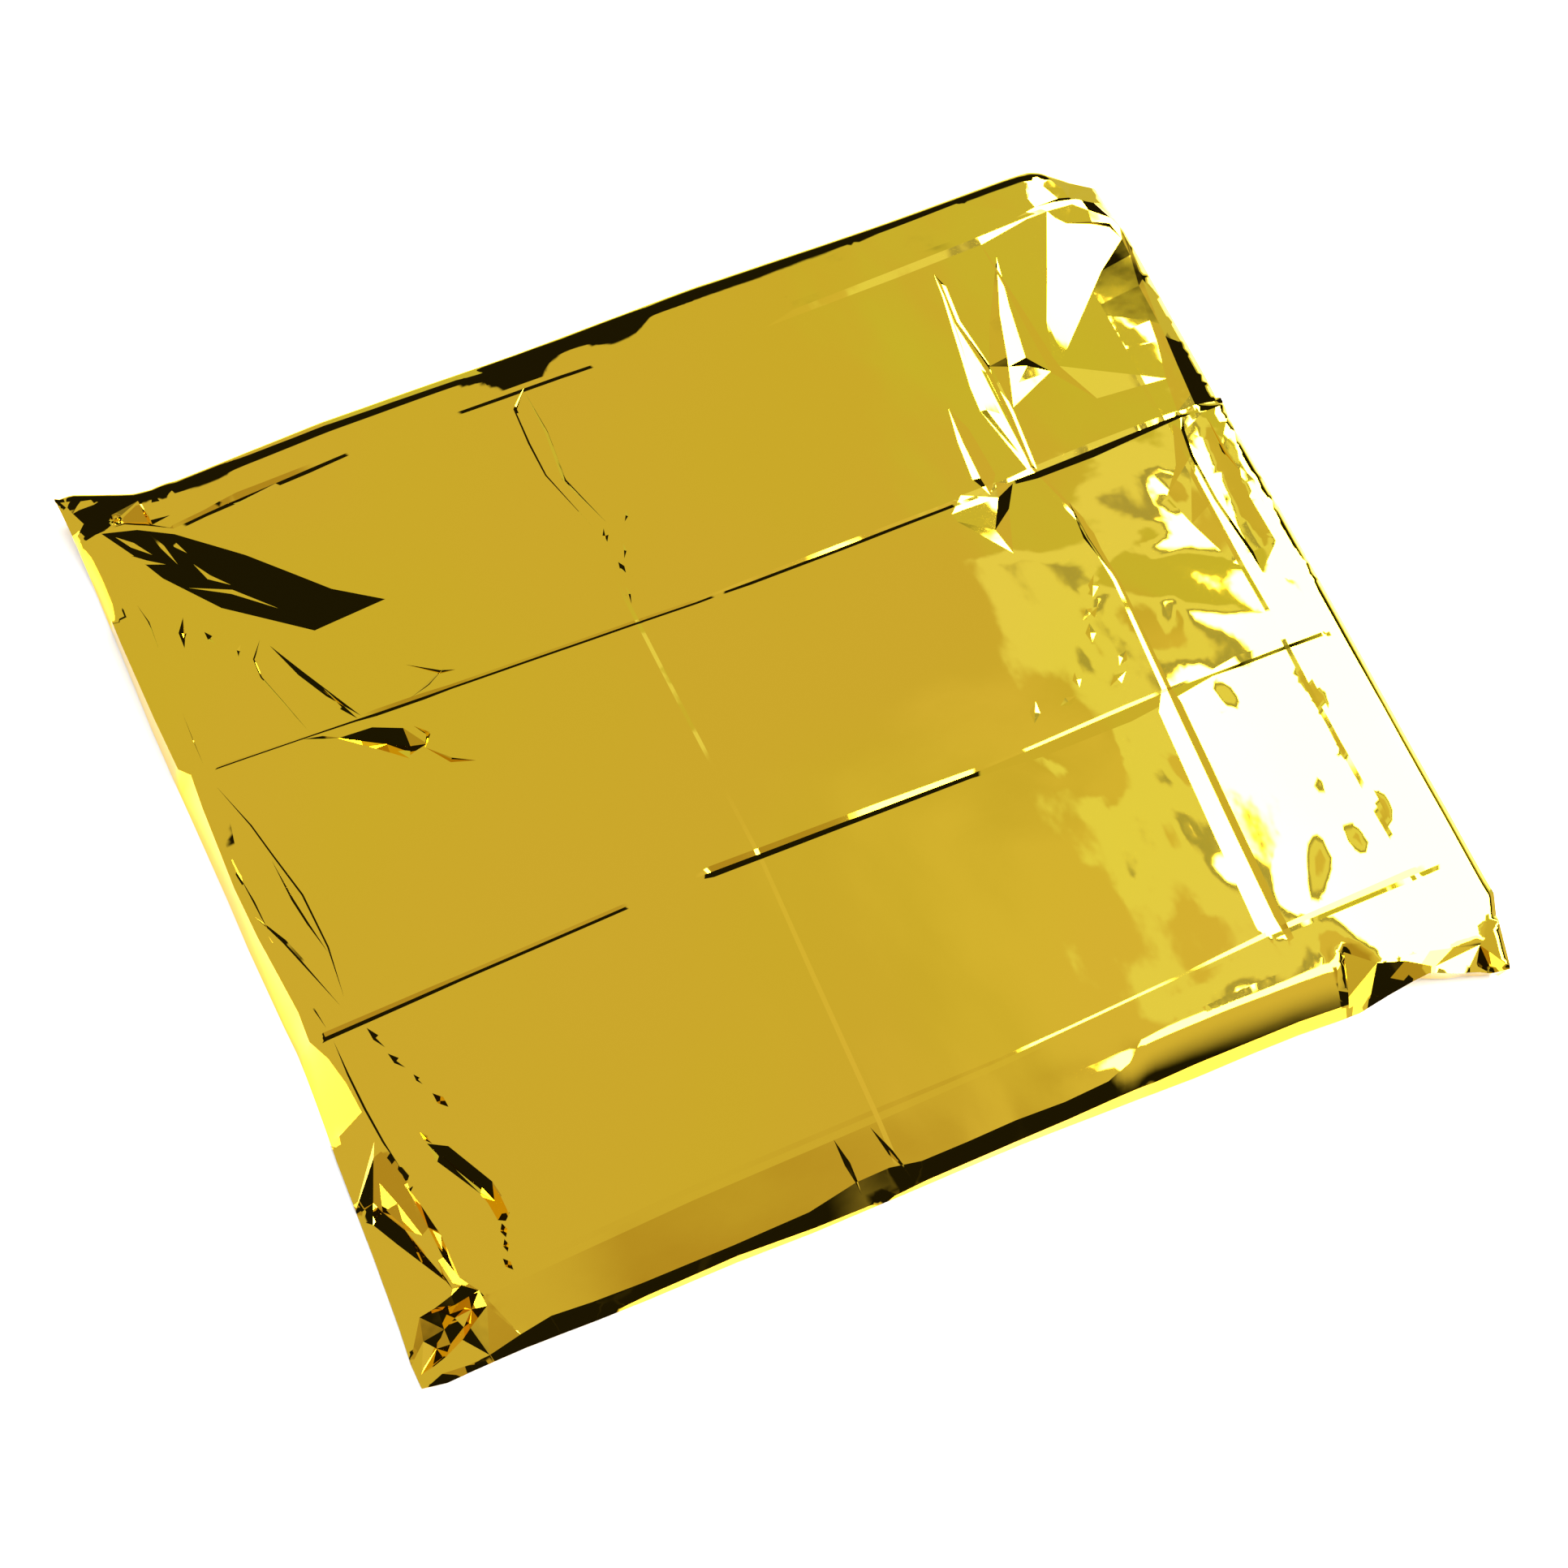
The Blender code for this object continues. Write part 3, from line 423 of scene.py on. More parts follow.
# Corners made of flat facets: their points, and the facets between them.
PATCHES = (
    ("south-west corner", {
        # the flap and the outline below it
        "A": (-136.2, -30, 0.1), "B": (-136.8, -49.5, 0.1), "C": (-137.4, -73, 0.1),
        "D": (-138.4, -91, 0.2), "E": (-138.8, -97.8, 0.3), "F": (-125.2, -26.5, 11.4),
        "G": (-125.2, -35, 11.4), "H": (-126.9, -38.7, 11), "I": (-130.7, -48.1, 1.5),
        # the crease at the edge of the top and the steep bank beside it
        "K": (-124.5, -38, 11.4), "L": (-122.8, -46, 11.3), "M": (-120.5, -55, 11.3),
        "N": (-118.8, -64, 11.3), "O": (-118.7, -75.9, 11.2), "P": (-115.4, -80.9, 11.3),
        "Q": (-123.4, -41.2, 10.8), "R": (-121.5, -51.6, 8.5), "S": (-120.7, -60.6, 8),
        "T": (-120.2, -69.1, 8), "U": (-120.5, -76.2, 8.5),
        "l": (-127.6, -44.6, 6), "m": (-125.3, -51.1, 5), "n": (-122.7, -61.4, 5.8),
        "o": (-121.5, -69.1, 6.6), "p": (-121.6, -73.6, 7.4),
        # the dark trough and the ridge of the slanting facet
        "h": (-129.3, -51.1, 0.7), "i": (-125.9, -58, 2.6), "j": (-123.9, -66.2, 4.6),
        "k": (-122, -73.3, 6.8), "b": (-132.9, -53.4, 2), "c": (-129.2, -60.9, 3.9),
        "d": (-125.5, -68, 5.8), "e": (-121.8, -75.1, 7.7), "f": (-121.1, -77.6, 8.3),
        # the tongue over the roll's open end
        "q": (-118.9, -77.7, 9.9), "r": (-122.1, -79, 9), "s": (-126.9, -80, 6.9),
        "t": (-131.2, -80.3, 4.2), "u": (-126.3, -80.9, 5.4), "v": (-122.1, -81.4, 7.4),
        # the open end and its crumpled inside
        "y": (-132.5, -86.1, 2.2), "X": (-136, -93.4, 1), "V": (-118.5, -84, 6),
        "w": (-123, -84, 3), "z": (-126.5, -85.5, 2.6), "g": (-130, -89, 0.7),
        "x": (-121.9, -87.2, 4.6), "W": (-126.4, -89.5, 1.4),
        "Y": (-115, -85.3, 10.9), "Z": (-120.8, -88.5, 8.9), "1": (-123.7, -90.3, 7.6),
        "2": (-129.1, -92.3, 5), "3": (-133, -93.2, 3.2),
        # the roll's tip
        "4": (-131.4, -95.7, 4.6), "5": (-124.8, -96.7, 7.3), "6": (-119, -96.7, 8.8),
        "7": (-110, -95.3, 10.5), "8": (-131.8, -99.4, 2.3), "9": (-124.8, -99.5, 5.4),
        "0": (-115.5, -99.5, 7.4), "J": (-110, -99.8, 7.6),
    }, "AFG AGB GHB HIB FKG GKH HKQ QLR LMR MSR MNS NTS NOT OUT HQl Qml QRm Rnm RSn Son STo TUo Upo "
       "HlI lhI lmh mih mni nji noj okj opk IbB Ihb hcb hic idc ijd jed jke kfe kpf pUf OqU qfU OPq "
       "BbC bcC cdC deC efC Cfr Crs Cst CtD qrf qPv qvr rvs svu sut tyD yXD XDE "
       "PVv vVw vwu uwz uzt tzy yzg ygX g3X g23 gW2 gzW zwx zxW Wx1 W12 xZ1 xVZ VYZ VPY wVx "
       "XE4 X43 342 245 251 156 16Z Z6Y Y67 Y7P E84 489 495 590 506 60J 6J7"),
    ("south-east ear", {
        "a": (145.8, -92.9, 10.3), "b": (152.8, -99.7, 11.6), "c": (141.6, -104.9, 8.2),
        "d": (141, -111.4, 1.8), "e": (147.8, -110.6, 1.6), "f": (155.2, -105, 9.9),
        "n": (161.7, -109.2, 9.6), "g": (167, -109.2, 10.5), "h": (169, -107.4, 10.7),
        "q": (161, -102.4, 11.6), "o": (165.2, -105.1, 11.5), "r": (162.6, -101.3, 11.4),
        "s": (169.6, -102.8, 11.4), "t": (176.5, -104.7, 11.2), "i": (185.1, -107.1, 10.6),
        "j": (194, -102.6, 12.5), "k": (191, -118.4, 11.2), "l": (186.7, -113.4, 6.8),
        "m": (176, -113.4, 10.4), "p": (186.6, -117, 5),
    }, "abc cbe cde bfe fne bqf fqn qon ogn ohg bqr qor ors osh sth tih ihm hgm ilm ijk ikl lkp lpm"),
)
# Soft dents and swells: an ellipse along its own heading.
SWELLS = (
    # name, x, y, half length, half width, heading, height
    ("east dome", 160, 14, 40, 20, -35, 0.7),
    ("side dent", 184, 48, 30, 8, 88, -0.6),
    ("south swell", 90, -92, 50, 8, -4, 0.5),
    ("panel dish", -62, 36, 54, 30, 10, -0.3),
    ("low middle dome", 84, -34, 40, 30, 0, 0.3),
    ("ripple 1", 112, -14, 9, 5, 60, 0.09),
    ("ripple 2", 124, -26, 8, 5, 100, -0.09),
    ("ripple 3", 101, -26, 8, 4, 30, -0.08),
    ("ripple 4", 117, -43, 9, 5, 80, 0.09),
    ("ripple 5", 99, -52, 8, 5, 50, -0.08),
    ("ripple 6", 126, -58, 8, 5, 110, -0.09),
    ("ripple 7", 110, -66, 9, 4, 10, 0.08),
    ("ripple 8", 90, -12, 8, 4, 150, 0.08),
    ("ripple 9", 118, 14, 8, 5, 70, -0.09),
    ("ripple 10", 127, 30, 7, 4, 40, 0.08),
    ("ripple 11", 84, -40, 7, 4, 20, 0.06),
    ("ripple 12", 148, -11, 7, 5, 100, -0.26),
    ("ripple 13", 174, -19, 10, 5, 112, -0.5),
    ("ripple 14", 174, -37, 6, 4, 60, -0.32),
    ("ripple 15", 161, -46, 6, 4, 95, -0.26),
    ("ripple 16", 176, -60, 9, 5, 75, -0.44),
    ("ripple 17", 163, -65, 7, 5, 120, -0.34),
    ("ripple 18", 146, -68, 14, 8, 45, -0.4),
    ("ripple 19", 154, 40, 9, 5, 20, 0.16),
    ("ripple 20", 166, 54, 8, 5, 100, -0.14),
    ("ripple 21", 148, 18, 7, 4, 60, -0.14),
)
# Slow unevenness and crinkles.
SWELL_WAVES = (
    # wavelength, heading, height, phase
    (96, 20, 0.13, 0.3),
    (74, -65, 0.09, 1.7),
    (43, 50, 0.05, 4.1),
    (27, -20, 0.022, 2.2),
    (17, 80, 0.01, 0.9),
    (11, 15, 0.005, 5.2),
)

# ---------------------------------------------------------------- small helpers
def column(table, key, index, at=0):
    """The value of one column of a table, read at `key` along another."""
    return np.interp(key, [row[at] for row in table], [row[index] for row in table])


def smooth(value):
    """0 below 0, 1 above 1, with a soft start and end."""
    value = np.clip(value, 0.0, 1.0)
    return value * value * (3.0 - 2.0 * value)


def run_length(points):
    """Length along a row up to each of its points."""
    steps = np.linalg.norm(np.diff(points, axis=0), axis=1)
    return np.concatenate([[0.0], np.cumsum(steps)])


def even(start, end, cell):
    """Even places from start to end, about a cell apart."""
    return np.linspace(start, end, max(2, round((end - start) / cell) + 1))


def marks_passed(value, marks):
    """How many of the marks a value has passed, with the part of the next one."""
    steps = [(value - low) / (high - low) for low, high in zip(marks[:-1], marks[1:])]
    return np.sum(np.clip(steps, 0.0, 1.0), axis=0)


def place_between(passed, marks):
    """The place where so many marks are passed."""
    steps = [np.clip(passed - index, 0.0, 1.0) * (high - low)
             for index, (low, high) in enumerate(zip(marks[:-1], marks[1:]))]
    return marks[0] + np.sum(steps, axis=0)


# ---------------------------------------------------------------- creases, folds and facets
NO_AREA = 1e-6                 # facets smaller than this are left out
FACET_EDGE = 1e-6              # how far beside a facet a place still counts as on it, as a share


def bank(first, second):
    """Facets between two lines with as many points."""
    facets = []
    for index in range(len(first) - 1):
        near, far = first[index:index + 2], second[index:index + 2]
        facets += [(near[0], near[1], far[0]), (near[1], far[1], far[0])]
    return facets


def crease(name, table, across):
    """Lines and facets of a long crease, pressed as its table says."""
    first, last = PRESS[name][0][0], PRESS[name][-1][0]
    places = {row[0] for row in PRESS[name]} | {row[0] for row in table}
    places = [place for place in sorted(places) if first <= place <= last]
    middle = column(table, places, 1)
    depth, before, after = (column(PRESS[name], places, index) for index in (1, 2, 3))

    def line(aside, height):
        pair = (middle + aside, places) if across else (places, middle + aside)
        return [tuple(map(float, point)) for point in zip(*pair, height)]

    lines = [line(-before, 0 * depth), line(0, -depth), line(after, 0 * depth)]
    return lines, bank(lines[0], lines[1]) + bank(lines[1], lines[2])


def fold(left, right, crest):
    """Lines and facets of a sharp fold with straight banks, as high as its crest line says."""
    crest = np.array(crest, float)
    steps = np.diff(crest[:, :2], axis=0)
    steps /= np.linalg.norm(steps, axis=1)[:, None]
    heading = np.concatenate([steps[:1], steps[:-1] + steps[1:], steps[-1:]])
    heading /= np.linalg.norm(heading, axis=1)[:, None]
    aside = np.column_stack([-heading[:, 1], heading[:, 0]])
    lines = [crest]
    for angle, side in ((left, 1), (right, -1)):
        width = np.abs(crest[:, 2]) / math.tan(math.radians(angle))
        feet = crest[:, :2] + side * aside * width[:, None]
        lines.append(np.column_stack([feet, np.zeros(len(crest))]))
    lines = [[tuple(point) for point in line.tolist()] for line in lines]
    return lines, bank(lines[1], lines[0]) + bank(lines[0], lines[2])


def fan(middle, corners):
    """Lines and facets round a middle point."""
    around = list(corners) + [corners[0]]
    lines = [around] + [[middle, corner] for corner in corners]
    return lines, [(middle, first, second) for first, second in zip(around[:-1], around[1:])]


def patch(points, names):
    """Lines and facets of a corner."""
    names = names.split()
    pairs = {frozenset(pair) for name in names for pair in (name[:2], name[1:], name[::2])}
    lines = [[points[place] for place in sorted(pair)] for pair in sorted(map(sorted, pairs))]
    return lines, [tuple(points[place] for place in name) for name in names]


def pit(x, y, half_length, half_width, heading, height):
    """Lines and facets of a small pyramid."""
    along = (math.cos(math.radians(heading)), math.sin(math.radians(heading)))
    ends = ((half_length, 0.0), (0.0, half_width), (-half_length, 0.0), (0.0, -half_width))
    corners = [(x + run * along[0] - side * along[1], y + run * along[1] + side * along[0], 0.0)
               for run, side in ends]
    return fan((x, y, height), corners)


def facet_height(x, y, facets, outside):
    """Height of flat facets, and the height given outside them."""
    height = outside
    for (ax, ay, ah), (bx, by, bh), (cx, cy, ch) in facets:
        area = (bx - ax) * (cy - ay) - (cx - ax) * (by - ay)
        if abs(area) < NO_AREA:
            continue
        share_b = ((x - ax) * (cy - ay) - (cx - ax) * (y - ay)) / area
        share_c = ((bx - ax) * (y - ay) - (x - ax) * (by - ay)) / area
        inside = (share_b >= -FACET_EDGE) & (share_c >= -FACET_EDGE)
        inside &= share_b + share_c <= 1 + FACET_EDGE
        height = np.where(inside, ah + (bh - ah) * share_b + (ch - ah) * share_c, height)
    return height


RELIEF = [crease(name, table, False) for name, table in ALONG]
RELIEF += [crease(name, table, True) for name, table in ACROSS]
RELIEF += [fold(left, right, crest) for _, left, right, crest in FOLDS]
RELIEF += [pit(*row) for row in PITS]
RELIEF += [patch(points, names) for _, points, names in DENTS]
CORNERS = [patch(points, names) for _, points, names in PATCHES]
# Edges of the roll's bank and of the west side, between the corners.
BANK_ROWS = [row for row in SOUTH_ROLL if -112 < row[0] < 142]
SIDE_ROWS = [row for row in WEST_SIDE if row[0] > -30]
BANK_LINES = [[(row[0], row[index], 0.0) for row in BANK_ROWS] for index in (4, 5)]
SIDE_LINES = [[(row[index], row[0], 0.0) for row in SIDE_ROWS] for index in (3, 5)]


# ---------------------------------------------------------------- the top layer
TOP_COLUMNS = even(-131, 196, 1.25)
TOP_MARKS = (-104, -81, 152, 163)
TOP_CELLS = (1, 1.5, 0.8)      # distance of the rows between the marks
TOP_ROWS = np.unique(np.concatenate([
    even(*ends) for ends in zip(TOP_MARKS[:-1], TOP_MARKS[1:], TOP_CELLS)]))
SKIRT_STEPS = 4
EAST_RIM = 1.8                 # where the layer starts to bend down at the east fold
NORTH_BEND = 1.5               # how round the turned-down north edge is
LINE_STEP = 1.5                # from point to point along a crease line
LINE_CLEARANCE = 0.35          # between a crease line and the free points beside it
NO_LENGTH = 1e-9
NET_TOLERANCE = 0.01           # points of the net nearer than this become one
SWAY = 0.6                     # how far the waves swing from a straight front
SWAY_LENGTH = 1.7              # the swing's length, in wavelengths


def swell_height(x, y):
    """Soft dents and swells, and the slow unevenness of the whole layer."""
    height = np.zeros_like(x)
    for _, centre_x, centre_y, half_length, half_width, heading, rise in SWELLS:
        turn = math.radians(heading)
        along = (x - centre_x) * math.cos(turn) + (y - centre_y) * math.sin(turn)
        aside = (y - centre_y) * math.cos(turn) - (x - centre_x) * math.sin(turn)
        inside = np.clip(1.0 - (along / half_length) ** 2 - (aside / half_width) ** 2, 0.0, 1.0)
        height = height + rise * inside * inside
    for length, heading, rise, phase in SWELL_WAVES:
        turn = math.radians(heading)
        place = x * math.cos(turn) + y * math.sin(turn)
        front = y * math.cos(turn) - x * math.sin(turn)
        bend = SWAY * np.sin(2 * math.pi * front / (SWAY_LENGTH * length) + phase)
        height = height + rise * np.sin(2 * math.pi * place / length + phase + bend)
    return height


def top_plan(nominal_y):
    """Plan of one row of the top layer: its points' x and y."""
    ends = column(WEST_SIDE, nominal_y, 1), column(EAST_SIDE, nominal_y, 1)
    x = np.interp(TOP_COLUMNS, (TOP_COLUMNS[0], TOP_COLUMNS[-1]), ends)
    lines = [column(table, x, 1) for table in (SOUTH_ROLL, ALONG[0][1], ALONG[-1][1], NORTH_EDGE)]
    return x, place_between(marks_passed(nominal_y, TOP_MARKS), lines)


def passed(value, start, end):
    """How far a value has gone from start to end, from 0 to 1."""
    return np.clip((value - start) / (end - start), 0.0, 1.0)


def south_drop(x, y):
    """How far the top layer has come down towards the south edge, and how much of it is bank."""
    rim_y, rim_drop, strip_drop, top_y, foot_y, foot_drop, curve = (
        column(SOUTH_ROLL, x, index) for index in range(1, 8))
    steep = passed(y, top_y, foot_y)
    drop = strip_drop * passed(y, column(ALONG[0][1], x, 1), top_y)
    drop += (foot_drop - strip_drop) * steep * (1 - curve + curve * steep)
    return drop + (rim_drop - foot_drop) * passed(y, foot_y, rim_y), steep


def west_drop(x, y):
    """How far the top layer has come down towards the west side, and how much of it is side."""
    foot_x, foot_z, shoulder_x, shoulder_z, crease_x = (
        column(WEST_SIDE, y, index) for index in range(1, 6))
    side = passed(x, shoulder_x, foot_x)
    drop = (TOP_Z - shoulder_z) * passed(x, crease_x, shoulder_x)
    return drop + (shoulder_z - foot_z) * side, side


def top_height(x, y):
    """Height of the top layer at places of its plan."""
    lines = [column(table, x, 1) for table in (SOUTH_ROLL, *(table for _, table in ALONG), NORTH_EDGE)]
    folds = [column(table, y, 1) for table in (WEST_SIDE, *(table for _, table in ACROSS), EAST_SIDE)]
    row, place = marks_passed(y, lines), marks_passed(x, folds)
    relief = swell_height(x, y)
    for line, heights in enumerate(CROSSING_HEIGHT):
        for index, height in enumerate(heights[1:]):
            share = np.clip(1 - abs(row - line), 0, 1) * np.clip(1 - abs(place - index), 0, 1)
            relief += height * share
    for _, facets in RELIEF:
        relief += facet_height(x, y, facets, np.zeros_like(x))
    turned = np.clip(1.0 - (lines[-1] - y) / column(NORTH_RIM, x, 1), 0.0, 1.0) ** NORTH_BEND
    to_south, steep = south_drop(x, y)
    to_west, side = west_drop(x, y)
    drop = to_south + to_west + column(NORTH_EDGE, x, 2) * turned
    drop += column(EAST_SIDE, y, 2) * passed(x, folds[-1] - EAST_RIM, folds[-1])
    height = TOP_Z - drop + relief * (1 - steep) * (1 - side)
    for _, facets in CORNERS:
        height = facet_height(x, y, facets, height)
    return np.maximum(height, FLOOR_Z)


def fine_line(line):
    """Points along a line, close enough for the sheet to follow it."""
    points = []
    for start, end in zip(line[:-1], line[1:]):
        length = math.dist(start[:2], end[:2])
        share = np.linspace(0.0, 1.0, max(1, math.ceil(length / LINE_STEP)) + 1)[:-1, None]
        points.append(np.array(start[:2]) * (1 - share) + np.array(end[:2]) * share)
    return np.concatenate(points + [np.array([line[-1][:2]])])


def near_line(points, start, end, reach):
    """Which points lie within reach of a short line."""
    run = end - start
    part = np.clip((points - start) @ run / max(run @ run, NO_LENGTH), 0.0, 1.0)
    return np.linalg.norm(points - start - part[:, None] * run, axis=1) < reach


def well_inside(points, border):
    """Which points lie inside the border and clear of it."""
    inside = np.zeros(len(points), bool)
    for (x0, y0), (x1, y1) in zip(border, np.roll(border, -1, axis=0)):
        crosses = (points[:, 1] < y0) != (points[:, 1] < y1)
        if crosses.any():
            inside ^= crosses & (points[:, 0] < x0 + (points[:, 1] - y0) * (x1 - x0) / (y1 - y0))
    apart = np.linalg.norm(points[:, None] - border[None], axis=2).min(axis=1)
    return inside & (apart > 2 * LINE_CLEARANCE)


def top_net():
    """Plan points, triangles and sharp edges of the top layer, with its border points' numbers."""
    plan = np.array([np.column_stack(top_plan(nominal_y)) for nominal_y in TOP_ROWS])
    border = np.concatenate([plan[0], plan[1:, -1], plan[-1, -2::-1], plan[-2:0:-1, 0]])
    edges = [(index, (index + 1) % len(border)) for index in range(len(border))]
    free = plan[2:-1:2, 2:-1:2].reshape(-1, 2)
    points = [border]
    count = len(border)
    for lines in [lines for lines, _ in RELIEF + CORNERS] + [BANK_LINES, SIDE_LINES]:
        for line in map(fine_line, lines):
            inside = well_inside(line, border)
            for index in np.nonzero(inside[:-1] & inside[1:])[0]:
                edges.append((count + index, count + index + 1))
                close = np.nonzero(np.abs(free - line[index]).max(axis=1) < LINE_STEP + LINE_CLEARANCE)[0]
                near = near_line(free[close], line[index], line[index + 1], LINE_CLEARANCE)
                free = np.delete(free, close[near], axis=0)
            points.append(line)
            count += len(line)
    used = sorted({index for edge in edges for index in edge})
    number = {old: new for new, old in enumerate(used)}
    kept = np.concatenate([np.concatenate(points)[used], free])
    edges = [(number[first], number[second]) for first, second in edges]
    places, net_edges, triangles, old_points, old_edges, _ = delaunay_2d_cdt(
        [Vector(point) for point in kept], edges, [], 1, NET_TOLERANCE)
    where = {old: new for new, olds in enumerate(old_points) for old in olds}
    sharp = [edge for edge, olds in zip(net_edges, old_edges)
             if any(old >= len(border) or old < len(TOP_COLUMNS) for old in olds)]
    return np.array(places), triangles, sharp, [where[index] for index in range(len(border))]


def skirt(edge, nominal_y):
    """Points down the east side, from its fold at `edge` to the foot."""
    foot = np.array([column(EAST_SIDE, nominal_y, 3), edge[1], column(EAST_SIDE, nominal_y, 4)])
    share = (np.arange(1, SKIRT_STEPS + 1) / SKIRT_STEPS)[:, None]
    return edge + (foot - edge) * share


# ---------------------------------------------------------------- folds, roll and flat layers
def spread(shares, west_x, east_x, y, z):
    """A straight row whose points lie between two sides as `shares` of the way."""
    x = west_x + (east_x - west_x) * shares
    return np.column_stack([x, np.broadcast_to(y, x.shape), np.broadcast_to(z, x.shape)])


def rounded(rows, passes):
    """Rows with their corners cut, so that a bend through a few of them is smooth."""
    for _ in range(passes):
        cut = [rows[0]]
        for row, following in zip(rows[:-1], rows[1:]):
            cut += [row * 0.75 + following * 0.25, row * 0.25 + following * 0.75]
        rows = cut + [rows[-1]]
    return rows


def roll_rows(top_edge):
    """The underside of the roll, from the top layer's south rim down to the floor."""
    west_x, east_x = top_edge[0, 0], top_edge[-1, 0]
    share = (top_edge[:, 0] - west_x) / (east_x - west_x)
    under = top_edge.copy()
    under[:, 0] = ROLL_WEST_X + share * (ROLL_EAST_X - ROLL_WEST_X)
    under[:, 1] += ROLL_UNDERCUT
    under[:, 2] = FLOOR_Z
    middle = (top_edge + under) / 2
    middle[:, 1] += ROLL_TUCK
    flat = under.copy()
    flat[:, 1] += ROLL_TOE
    return rounded([top_edge, middle, under, flat], ROLL_ROUNDING)[1:]


def bend_rows(start, end, outward, steps):
    """A half-round fold from row `start` to row `end`, bulging along Y by `outward` radii."""
    rows = []
    radius = np.abs(start[:, 2] - end[:, 2]) / 2
    for step in range(1, steps):
        turn = math.pi * step / steps
        row = start + (end - start) * (1 - math.cos(turn)) / 2
        row[:, 1] += outward * radius * math.sin(turn)
        rows.append(row)
    return rows


def inner_rows(north_edge):
    """The inner layers, from the sheet's free end to the bend under the top layer's north edge."""
    length = run_length(north_edge)
    shares = length / length[-1]

    def inner(level, y):
        z = FLOOR_Z + INNER_LIFT + LAYER_PITCH * level
        west_x = INNER_WEST_X + (INNER_WEST_NORTH_X - INNER_WEST_X) \
            * smooth((y - INNER_SOUTH_Y) / (INNER_NORTH_Y - INNER_SOUTH_Y))
        row = spread(shares, west_x, INNER_EAST_X, y, z)
        for axis, height, wave, shift in INNER_WAVES:
            row[:, axis] += height * np.sin(row[:, 0] / wave + level * shift)
        return row

    rows = [inner(1, INNER_NORTH_Y)]
    for level in range(1, INNER_LAYERS):
        end_y = INNER_SOUTH_Y if level % 2 else INNER_NORTH_Y
        outward = -1 if level % 2 else 1
        start, end = inner(level, end_y), inner(level + 1, end_y)
        rows += [start] + bend_rows(start, end, outward, INNER_BEND_STEPS) + [end]
    under = north_edge.copy()
    under[:, 2] = inner(INNER_LAYERS, INNER_NORTH_Y)[:, 2]
    rows += [inner(INNER_LAYERS, INNER_NORTH_Y), under]
    return rows + bend_rows(under, north_edge, 1, NORTH_BEND_STEPS)


def bottom_rows(south_edge):
    """The roll and the bottom layer, from the top layer's south edge to the sheet's other free end."""
    length = run_length(south_edge)
    shares = length / length[-1]
    rows = roll_rows(south_edge)
    floor_y = rows[-1][:, 1].max() + TAPER
    rows.append(spread(shares, BOTTOM_WEST_X, INNER_EAST_X, floor_y, FLOOR_Z))
    rows.append(spread(shares, BOTTOM_WEST_X, INNER_EAST_X, BOTTOM_NORTH_Y, FLOOR_Z))
    return rows


class SheetNet:
    """Points and faces of the sheet while it is put together."""

    def __init__(self):
        self.points = []
        self.faces = []

    def add(self, points):
        """Adds points and gives their numbers."""
        start = len(self.points)
        self.points += np.asarray(points).tolist()
        return list(range(start, len(self.points)))

    def weave(self, rows):
        """Adds four-sided faces between rows of point numbers."""
        for row, following in zip(rows[:-1], rows[1:]):
            for index in range(len(row) - 1):
                self.faces.append((row[index], following[index], following[index + 1], row[index + 1]))


def sheet_mesh():
    """The whole sheet as a mesh."""
    net = SheetNet()
    plan, triangles, sharp, border = top_net()
    top = np.column_stack([plan, top_height(*plan.T)])
    net.add(top)
    net.faces += triangles
    width, depth = len(TOP_COLUMNS), len(TOP_ROWS)
    south, east = border[:width], border[width - 1:width + depth - 1]
    north = border[width + depth - 2:2 * width + depth - 2][::-1]
    side = [[edge] + net.add(skirt(top[edge], nominal_y)) for nominal_y, edge in zip(TOP_ROWS, east)]
    net.weave(side[::-1])
    south_row, north_row = south + side[0][1:], north + side[-1][1:]
    every = np.array(net.points)
    net.weave([net.add(row) for row in inner_rows(every[north_row])] + [north_row])
    net.weave([south_row] + [net.add(row) for row in bottom_rows(every[south_row])])
    places = (np.array(net.points) + np.array([CROSSING[0], CROSSING[1], 0.0])) * MM
    mesh = bpy.data.meshes.new("foil_sheet")
    mesh.from_pydata(places.tolist(), [], net.faces)
    mesh.shade_smooth()
    creased = {frozenset(edge) for edge in sharp}
    marks = mesh.attributes.new("sharp_edge", "BOOLEAN", "EDGE")
    marks.data.foreach_set("value", [frozenset(edge.vertices) in creased for edge in mesh.edges])
    return mesh


# ---------------------------------------------------------------- shader nodes
class Socket:
    """A shader socket that takes part in Python expressions."""

    def __init__(self, nodes, socket):
        self.nodes = nodes
        self.socket = socket

    def math(self, operation, other, first=True):
        """Adds a Math node on this value and another."""
        values = (self, other) if first else (other, self)
        return self.nodes.add("ShaderNodeMath", {"operation": operation}, dict(enumerate(values)))

    def __mul__(self, other):
        return self.math("MULTIPLY", other)

    __rmul__ = __mul__

    def __sub__(self, other):
        return self.math("SUBTRACT", other)

    def __rsub__(self, other):
        return self.math("SUBTRACT", other, first=False)

    def __truediv__(self, other):
        return self.math("DIVIDE", other)

    def __rtruediv__(self, other):
        return self.math("DIVIDE", other, first=False)

    def above(self, edge, soft):
        """0 below the edge and 1 above it, over a soft border."""
        return self.nodes.add("ShaderNodeMapRange", {"interpolation_type": "SMOOTHSTEP"},
                              {"Value": self, "From Min": edge - soft, "From Max": edge + soft})

    def below(self, edge, soft):
        """1 below the edge and 0 above it."""
        return 1.0 - self.above(edge, soft)


